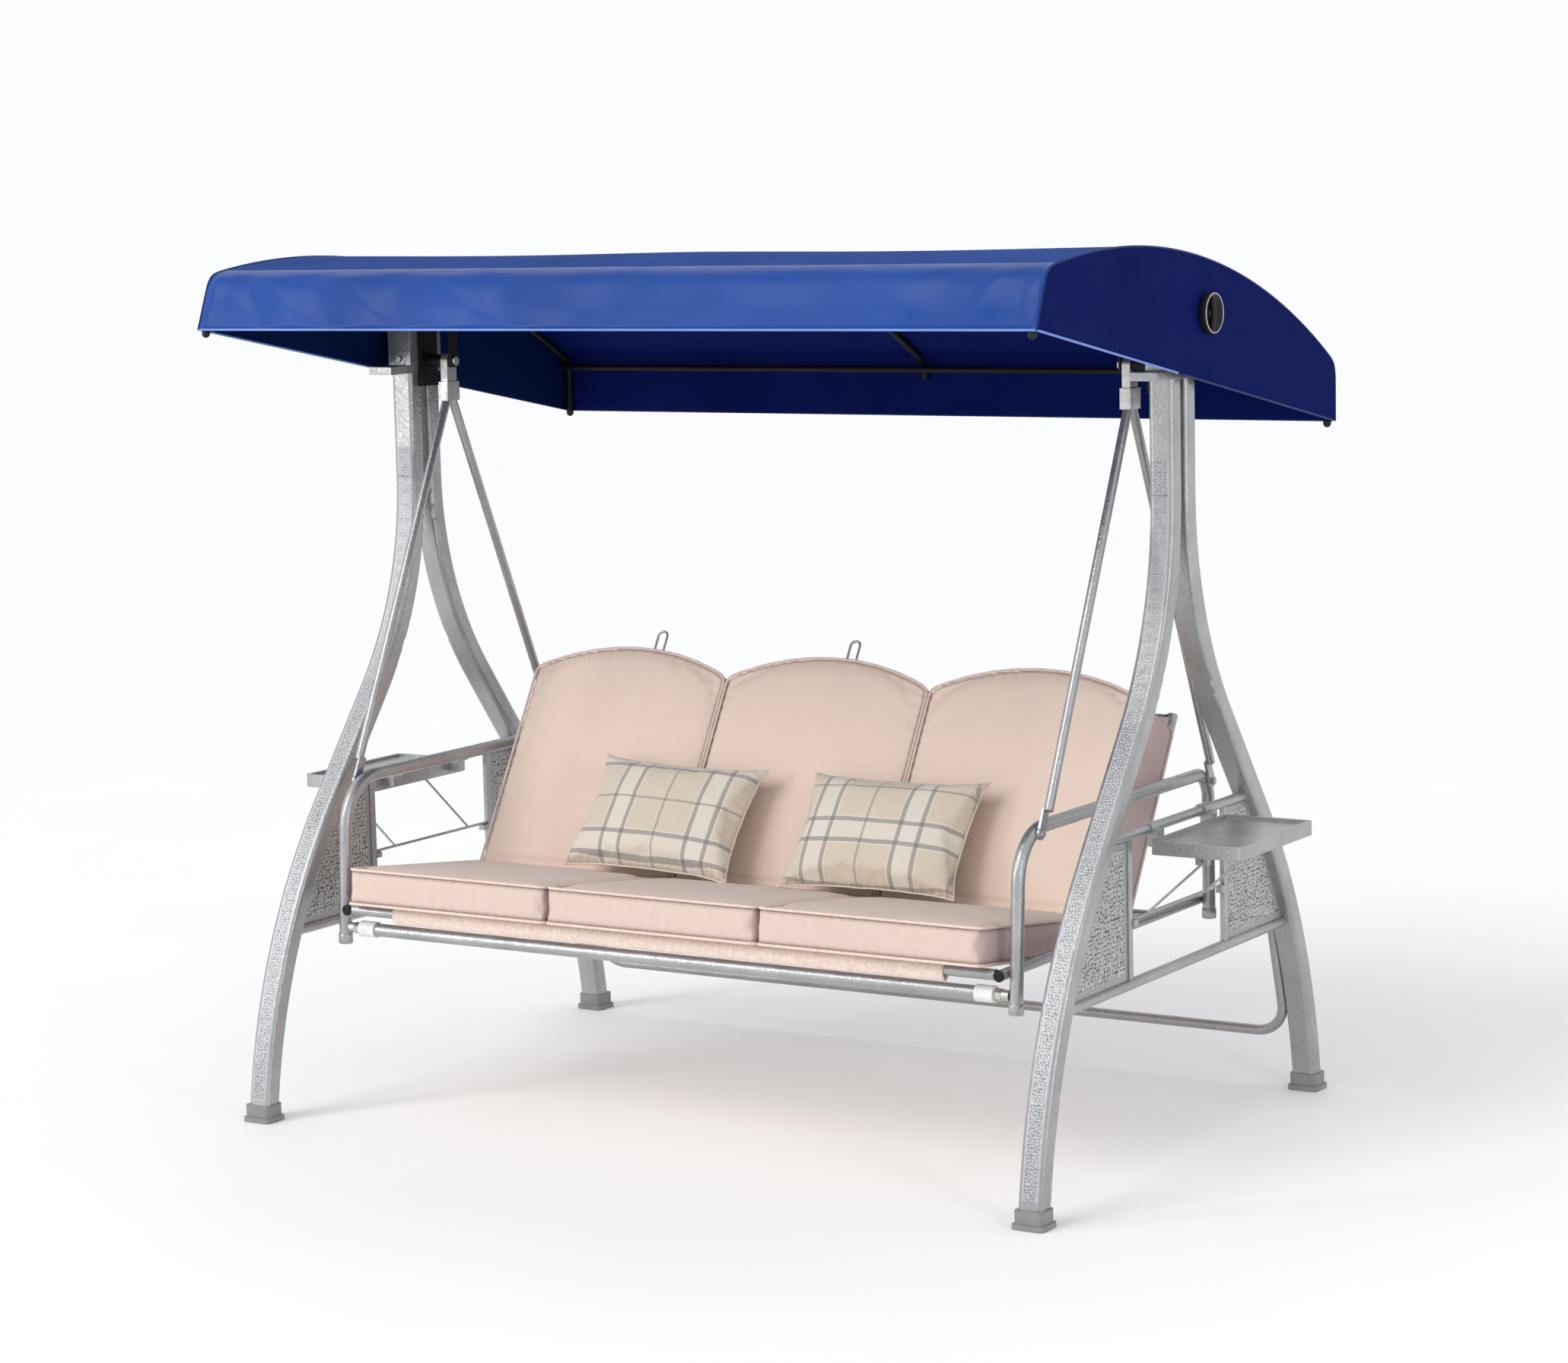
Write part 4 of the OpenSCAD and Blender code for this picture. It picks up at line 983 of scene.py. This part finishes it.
def swell(obj, pins, cap, slack, pressure=4.0):
    """Lets cloth pressure fill obj. pins holds seams, and cap is how far each point may move."""
    frames = 20
    rest = points_of(obj.data)
    group = obj.vertex_groups.new(name="pin")
    for i in np.nonzero(pins > 0.01)[0]:
        group.add([int(i)], float(pins[i]), "REPLACE")
    cloth = obj.modifiers.new("cloth", "CLOTH")
    settings = cloth.settings
    settings.quality = 4
    settings.mass = 0.25
    settings.tension_stiffness = settings.compression_stiffness = 12
    settings.shear_stiffness = 4
    settings.bending_stiffness = 0.4
    settings.use_pressure = True
    settings.uniform_pressure_force = pressure
    settings.shrink_min = -slack
    settings.vertex_group_mass = "pin"
    settings.effector_weights.gravity = 0
    for f in range(1, frames + 1):
        scene.frame_set(f)
    made = obj.evaluated_get(bpy.context.evaluated_depsgraph_get()).to_mesh()
    moved = points_of(made) - rest
    obj.modifiers.clear()
    obj.vertex_groups.clear()
    scene.frame_set(1)
    far = np.linalg.norm(moved, axis=1)
    keep = cap * np.tanh(far / np.maximum(cap, 1e-6)) / np.maximum(far, 1e-9)
    move_points(obj.data, rest + moved * keep[:, None])


def subdivide(obj):
    obj.modifiers.new("subdivide", "SUBSURF").levels = 1
    bake_modifiers(obj)


def seam_finder(loops):
    """A function that gives each point's distance from the nearest seam, and its place along it."""
    spots, runs = [], []
    for loop in loops:
        dense = even_loop(loop, int(len(loop) * 2))
        gap = np.linalg.norm(dense[1] - dense[0])
        spots += [tuple(p) for p in dense]
        runs += [gap * i for i in range(len(dense))]
    runs = np.array(runs)
    tree = KDTree(len(spots))
    for i, p in enumerate(spots):
        tree.insert(p, i)
    tree.balance()

    def measure(co):
        found = [tree.find(p) for p in co]
        return np.array([f[2] for f in found]), runs[[f[1] for f in found]]

    return measure


def make_pad(name, first, second, matrix, material, seed, face_axis, resting):
    """A padded box with two panels, a gusset between them, and piping along both seams."""
    pad = pad_solid(name, first, second, matrix)
    remesh(pad, 0.0075)
    loops = (first, second)
    measure = seam_finder(loops)
    co = points_of(pad.data)
    away, _ = measure(co)
    normal = np.abs(normals_of(pad.data))
    gusset = normal[:, face_axis] < 0.6
    pins = 1 - smooth_step((away - 0.004) / 0.012)
    cap = np.where(gusset, 0.0025, 0.0085)
    cap = np.where(resting(co), 0.0015, cap)
    swell(pad, pins, cap, slack=0.02)
    subdivide(pad)
    co = points_of(pad.data)
    normal = normals_of(pad.data)
    away, run = measure(co)
    gusset = smooth_step((0.75 - np.abs(normal[:, face_axis])) / 0.3)
    shaded_flank = smooth_step((np.abs(normal[:, 0]) - 0.4) / 0.3)
    gather = np.exp(-away / 0.018) * (1 - np.exp(-away / 0.004))
    ripple = np.sin(2 * math.pi * run / 0.027 + 2 * soft_noise(co, 6, seed))
    wave = soft_noise(co, 9, seed + 1) * 0.0011 + soft_noise(co, 22, seed + 2) * 0.0005
    shift = 0.0010 * gather * ripple + wave * smooth_step(away / 0.05) * (1 - 0.6 * gusset)
    move_points(pad.data, co + normal * shift[:, None])
    # Painted shade: seam darkens the crease beside each seam, side darkens the gusset and the
    # flanks facing along X.
    mark(pad.data, "seam", np.exp(-((away - 0.0055) / 0.0030) ** 2))
    mark(pad.data, "side", 0.25 * gusset + 0.75 * shaded_flank)
    dress(pad, material)
    cord = tubes(f"{name}_piping", loops, 0.0030, PAINTS["piping"], True, 8, matrix)
    carry([pad, cord], "bench")
    return pad


def seat_loop(centre, z, length):
    """Outline of a seat cushion's panel at height z: a rounded rectangle."""
    half = SECTION_W / 2 - PAD_INSET
    corners = [(centre - half, 0.002, z), (centre + half, 0.002, z),
               (centre + half, length, z), (centre - half, length, z)]
    return even_loop(rounded_loop(corners, (0.016, 0.016, 0.02, 0.02), 0.006), 260)


def make_seat_pads():
    top_len = (CREASE.y - SEAT_FRONT.y) / math.cos(math.radians(SEAT_FALL))
    between = math.tan(math.radians(BACK_LEAN - SEAT_FALL))
    low_len = top_len - SEAT_T * between
    for i, word in PLACES:
        centre = i * SECTION_W
        first = seat_loop(centre, -PAD_INSET, top_len - 0.003)
        second = seat_loop(centre, -SEAT_T + 0.003, low_len - 0.003)
        pad = make_pad(
            f"seat_pad_{word}", first, second, SEAT, PAINTS["seat_cloth"], 50 + i, 2,
            lambda co: (co[:, 2] < -SEAT_T + 0.012) | (co[:, 1] > low_len - 0.03),
        )
        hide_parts(f"seat_cushion_{word}")


def back_loop(centre, n, low):
    """Outline of a back cushion's panel at depth n: straight sides and an arched top."""
    half = SECTION_W / 2 - PAD_INSET
    radius = (half**2 + BACK_ARCH**2) / (2 * BACK_ARCH)
    turn = math.asin(half / radius)
    arch_z = BACK_LEN + BACK_ARCH - radius - 0.003
    turns = np.linspace(turn * 0.86, -turn * 0.86, 9)
    corners = [(centre - half, n, low), (centre + half, n, low)]
    corners += [(centre + half, n, BACK_LEN - 0.003)]
    corners += [(centre + radius * math.sin(t), n, arch_z + radius * math.cos(t)) for t in turns]
    corners += [(centre - half, n, BACK_LEN - 0.003)]
    radii = [0.014, 0.014, 0.045] + [0.2] * len(turns) + [0.045]
    return even_loop(rounded_loop(corners, radii, 0.006), 320)


def make_back_pads():
    cos, sin = math.cos(math.radians(BACK_LEAN)), math.sin(math.radians(BACK_LEAN))

    def low_at(n):
        return (BACK_FLOOR - CREASE.z + n * sin) / cos

    front_n, rear_n = PAD_INSET, BACK_T - 0.003
    for i, word in PLACES:
        centre = i * SECTION_W
        first = back_loop(centre, front_n, low_at(front_n) + 0.004)
        second = back_loop(centre, rear_n, low_at(rear_n) + 0.004)
        pad = make_pad(
            f"back_pad_{word}", first, second, BACK, PAINTS["back_cloth"], 70 + i, 1,
            lambda co: (co[:, 1] > BACK_T - 0.012) | (co[:, 2] < low_at(BACK_T) * 0.2),
        )
        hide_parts(f"back_cushion_{word}")


def pillow_shell():
    """Points and faces of two domed panels that share their rim, and the rim's points in order."""
    across, tall, pull = 84, 58, 0.035
    a, b = np.meshgrid(np.linspace(-1, 1, across), np.linspace(-1, 1, tall))
    px = a * (PILLOW_SIZE.x / 2) * (1 - pull * (1 - b * b))
    pz = b * (PILLOW_SIZE.z / 2) * (1 - 1.3 * pull * (1 - a * a))
    dome = ((1 - np.abs(a) ** 2.6) * (1 - np.abs(b) ** 2.6)) ** 0.55
    thick = 0.84 * PILLOW_SIZE.y / 2 * dome
    front = np.stack([px, -thick, pz], -1).reshape(-1, 3)
    rear = np.stack([px, thick * 0.9, pz], -1)[1:-1, 1:-1].reshape(-1, 3)
    first = np.arange(across * tall).reshape(tall, across)
    second = first.copy()
    second[1:-1, 1:-1] = first.size + np.arange(len(rear)).reshape(tall - 2, across - 2)
    faces = []
    for i in range(tall - 1):
        for j in range(across - 1):
            faces.append((first[i, j], first[i, j + 1], first[i + 1, j + 1], first[i + 1, j]))
            faces.append((second[i, j], second[i + 1, j], second[i + 1, j + 1], second[i, j + 1]))
    rim = np.concatenate([first[0], first[1:, -1], first[-1, -2::-1], first[-2:0:-1, 0]])
    return np.concatenate([front, rear]), [tuple(map(int, f)) for f in faces], rim


def make_pillow(name, x, node, material, seed, tilt):
    """A knife-edge pillow: two panels sewn at the rim, filled by cloth pressure."""
    half = PILLOW_SIZE / 2
    place = Vector((x, -PILLOW_SIZE.y / 2 - 0.022, PILLOW_SIZE.z / 2 - PILLOW_DROP - 0.015))
    lean = Matrix.Rotation(math.radians(-PILLOW_LEAN), 4, "X")
    matrix = BACK @ Matrix.Translation(place) @ lean @ Matrix.Rotation(math.radians(tilt), 4, "Y")
    points, faces, rim = pillow_shell()
    pillow = mesh_object(name, points, faces, matrix=matrix)
    co = points_of(pillow.data)
    noise = soft_noise(co, 14, seed) * 0.0012
    move_points(pillow.data, co + normals_of(pillow.data) * noise[:, None])
    swell(pillow, np.zeros(len(co)), np.full(len(co), 0.012), slack=0.03, pressure=5.0)
    rim_path = points_of(pillow.data)[rim]
    subdivide(pillow)
    co = points_of(pillow.data)
    normal = normals_of(pillow.data)
    away, run = seam_finder([even_loop(rim_path, 300)])(co)
    gather = np.exp(-away / 0.022) * (1 - np.exp(-away / 0.005))
    ripple = np.sin(2 * math.pi * run / 0.019 + 3 * soft_noise(co, 8, seed))
    outward = np.abs(co[:, 0]) / half.x + np.abs(co[:, 2]) / half.z
    corner = smooth_step((outward - 1.3) / 0.5)
    shift = 0.0012 * gather * ripple * (1 + corner) + 0.0016 * soft_noise(co, 13, seed + 4)
    co = co + normal * shift[:, None]
    co[:, 1] = np.clip(co[:, 1], -half.y - 0.004, half.y - 0.001)
    move_points(pillow.data, co)
    dress(pillow, material)
    path = even_loop(rim_path, 260)
    cord = tubes(f"{name}_piping", [path], 0.0021, PAINTS["pillow_piping"], True, 8, matrix)
    carry([pillow, cord], "bench")
    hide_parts(node)


# ---- Slings and the bench's small fittings ----


def ribbon(name, line, half, matrix=None):
    """A band of cloth along X whose section follows line, a list of (y, z)."""
    xs = np.linspace(-half, half, int(2 * half / 0.012))
    x, k = np.meshgrid(xs, np.arange(len(line)))
    points = np.stack([x, line[k, 0], line[k, 1]], -1)
    points[..., 2] += 0.0006 * np.sin(x * 47 + k) * (np.abs(x) < half)
    faces = grid_faces(len(line), len(xs))
    obj = mesh_object(name, points.reshape(-1, 3), faces, [PAINTS["sling"]], matrix=matrix)
    thick = obj.modifiers.new("thickness", "SOLIDIFY")
    thick.thickness = 0.0016
    thick.offset = 0
    bake_modifiers(obj)
    obj.data.shade_smooth()
    return obj


def even_line(line, step):
    line = np.asarray(line, float)
    run = run_along(line)
    at = np.linspace(0, run[-1], max(2, int(run[-1] / step)))
    return np.stack([np.interp(at, run, line[:, k]) for k in range(2)], 1), run[-1]


def make_slings():
    reach = SEAT_T / math.cos(math.radians(BACK_LEAN - SEAT_FALL))
    low = (CREASE.y - reach * math.sin(math.radians(BACK_LEAN)),
           CREASE.z - reach * math.cos(math.radians(BACK_LEAN)) - 0.0018)
    top = SEAT_TUBE[1] + RAIL_R + 0.0015
    wrap = [
        (SEAT_TUBE[0] + 0.0125 * math.cos(t), SEAT_TUBE[1] + 0.0125 * math.sin(t))
        for t in np.linspace(math.pi * 0.5, math.pi * 1.05, 10)
    ]
    skirt = [(SEAT_TUBE[0] - 0.010, SEAT_TUBE[1] - 0.015), (SEAT_TUBE[0] - 0.004, 0.4205),
             (SEAT_TUBE[0] + 0.002, 0.4205), (SEAT_TUBE[0] + 0.010, SEAT_TUBE[1] - 0.013),
             (SEAT_TUBE[0] + 0.030, SEAT_TUBE[1] - 0.004)]
    rear = (0.1665, 0.4445)
    line, length = even_line([rear, low, (SEAT_TUBE[0], top)] + wrap + skirt, 0.007)
    sling = ribbon("seat_sling_cloth", line, SLING_HALF)
    carry([sling], "bench")
    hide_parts("seat_sling")
    n = BACK_T + 0.0015
    rows, tall = even_line([(n, 0.052), (n, 0.500)], 0.010)
    back = ribbon("back_sling_cloth", rows, BACK_TUBE_X - 0.001, BACK)
    carry([back], "bench")
    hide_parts("back_sling")


def end_cap(name, profile, place, way, slot):
    """A turned cap or plug: profile is (distance along way, radius) pairs from place."""
    way = Vector(way).normalized()
    turn = way.to_track_quat("X", "Z").to_matrix().to_4x4()
    obj = lathe_x(name, profile, (0, 0, 0), PAINTS[slot], 1, 32)
    obj.data.transform(Matrix.Translation(place) @ turn)
    carry([obj], "bench")


def make_end_caps():
    """Caps on the open ends of the bench's tubes."""
    post_r = ARM_R + 0.0018
    cap = [(-0.0015, post_r * 0.7), (-0.001, post_r - 0.002), (0.001, post_r), (0.019, post_r),
           (0.0215, post_r - 0.001), (0.022, ARM_R - 0.001)]
    rail_r = RAIL_R + 0.0006
    plug = [(-0.003, rail_r * 0.6), (-0.0025, rail_r * 0.85), (-0.001, rail_r), (0.002, rail_r),
            (0.003, RAIL_R - 0.001)]
    for side, word in SIDES:
        low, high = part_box(f"arm_frame_{word}")
        x = (low.x + high.x) / 2
        lean = math.radians(3.5)
        foot = (x, -0.466, 0.366)
        rear = (x, 0.385, 0.405)
        up = (0, math.sin(lean), math.cos(lean))
        end_cap(f"post_cap_front_{word}", cap, foot, up, "steel")
        end_cap(f"post_cap_rear_{word}", cap, rear, (0, 0, 1), "steel")
        rail_low, rail_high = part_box("seat_side_rails")
        rail_x = side * (rail_high.x - RAIL_R)
        for y, way, end in ((rail_low.y, 1, "front"), (rail_high.y, -1, "rear")):
            place = (rail_x, y, SEAT_TUBE[1])
            end_cap(f"rail_plug_{end}_{word}", plug, place, (0, way, 0), "black_plastic")


# ---- The whole ----

PEACH = (0.840, 0.665, 0.560)
# The seat's peach is a darker copy of PEACH: painted shade.
SHADED_SEAT_PEACH = (0.690, 0.545, 0.465)
# The mauve that the cushions' sides turn towards: painted shade.
PAINTED_SHADE_MAUVE = (0.500, 0.365, 0.350)
BLUE = (0.008, 0.053, 0.265)
# The canopy top's blue is a lit copy of BLUE: painted light.
LIT_TOP_BLUE = (0.026, 0.066, 0.260)


def make_paints():
    steel = (0.42, 0.425, 0.43)
    return {
        "steel": hammered_steel("hammered_steel", steel),
        "zinc": plated("zinc", (0.62, 0.61, 0.59), 0.38),
        "bright": plated("bright_rim", (0.75, 0.76, 0.78), 0.24),
        "black_steel": satin_black(),
        "black_plastic": moulded("black_plastic", (0.006, 0.006, 0.007), 0.5),
        "white_plastic": moulded("white_plastic", (0.80, 0.79, 0.75), 0.4),
        "cap_grey": moulded("cap_grey", (0.27, 0.27, 0.265), 0.42),
        "embossed": embossed_steel(),
        "pebbled": pebbled_steel(),
        "sling": piping_cloth("sling_cloth", (0.860, 0.700, 0.610)),
        # The seat pads take the shaded copy of the peach: painted shade.
        "seat_cloth": cushion_cloth("seat_cloth", SHADED_SEAT_PEACH, PAINTED_SHADE_MAUVE, "XY"),
        "back_cloth": cushion_cloth("back_cloth", PEACH, PAINTED_SHADE_MAUVE, "XZ"),
        "piping": piping_cloth("cushion_piping", (0.80, 0.64, 0.56)),
        "plaid_left": plaid_cloth("plaid_left", (-0.086, -0.088)),
        "plaid_right": plaid_cloth("plaid_right", (-0.125, -0.0165)),
        "pillow_piping": piping_cloth("pillow_piping", (0.70, 0.63, 0.53)),
        "canopy": canopy_cloth("canopy_blue", BLUE, 0.34, 0.20),
        # The top takes a lit copy of the canopy cloth: painted light.
        "canopy_top": canopy_cloth("canopy_top", LIT_TOP_BLUE, 0.7, 0.015),
        # The ends and the inside take darker copies of the canopy cloth: painted shade.
        "canopy_end": canopy_cloth("canopy_end_shaded", (0.0018, 0.0100, 0.0620), 0.6, 0.03),
        "canopy_under_shaded": canopy_cloth("canopy_inside_shaded", (0.0028, 0.0080, 0.0900), 0.7, 0.03),
        # The pale piping is a painted highlight on the front hem; the dark cord is painted shade.
        "canopy_piping_lit": canopy_cloth("canopy_piping_lit", (0.15, 0.27, 0.66), 0.45, 0.3),
        "canopy_cord_shaded": canopy_cloth("canopy_cord_shaded", (0.008, 0.026, 0.130), 0.5, 0.15),
    }


def paint_frame():
    """Every CAD node takes the paint of its slot, with a few of its own."""
    own = {"foot_caps": "cap_grey", "mesh_panels": "pebbled"}
    by_slot = {
        "cushion_fabric": "piping", "plaid_fabric": "piping", "canopy_fabric": "canopy",
        "sling_fabric": "sling",
    }
    for part in frame["record"]["subparts"]:
        node = frame["nodes"][part["node"]]
        slot = part["material_slot"]
        paint = PAINTS[own.get(part["node"]) or by_slot.get(slot) or slot]
        node.data.materials.clear()
        node.data.materials.append(paint)


PAINTS = make_paints()
make_camera()
make_studio()
paint_frame()
make_stand()
for knob_side, knob_word in SIDES:
    make_knob(knob_side, knob_word)
make_canopy()
make_seat_pads()
make_back_pads()
make_pillow("pillow_cloth_left", PILLOW_X[0], "pillow_left", PAINTS["plaid_left"], 91, 1.5)
make_pillow("pillow_cloth_right", PILLOW_X[1], "pillow_right", PAINTS["plaid_right"], 97, -0.5)
make_slings()
make_end_caps()
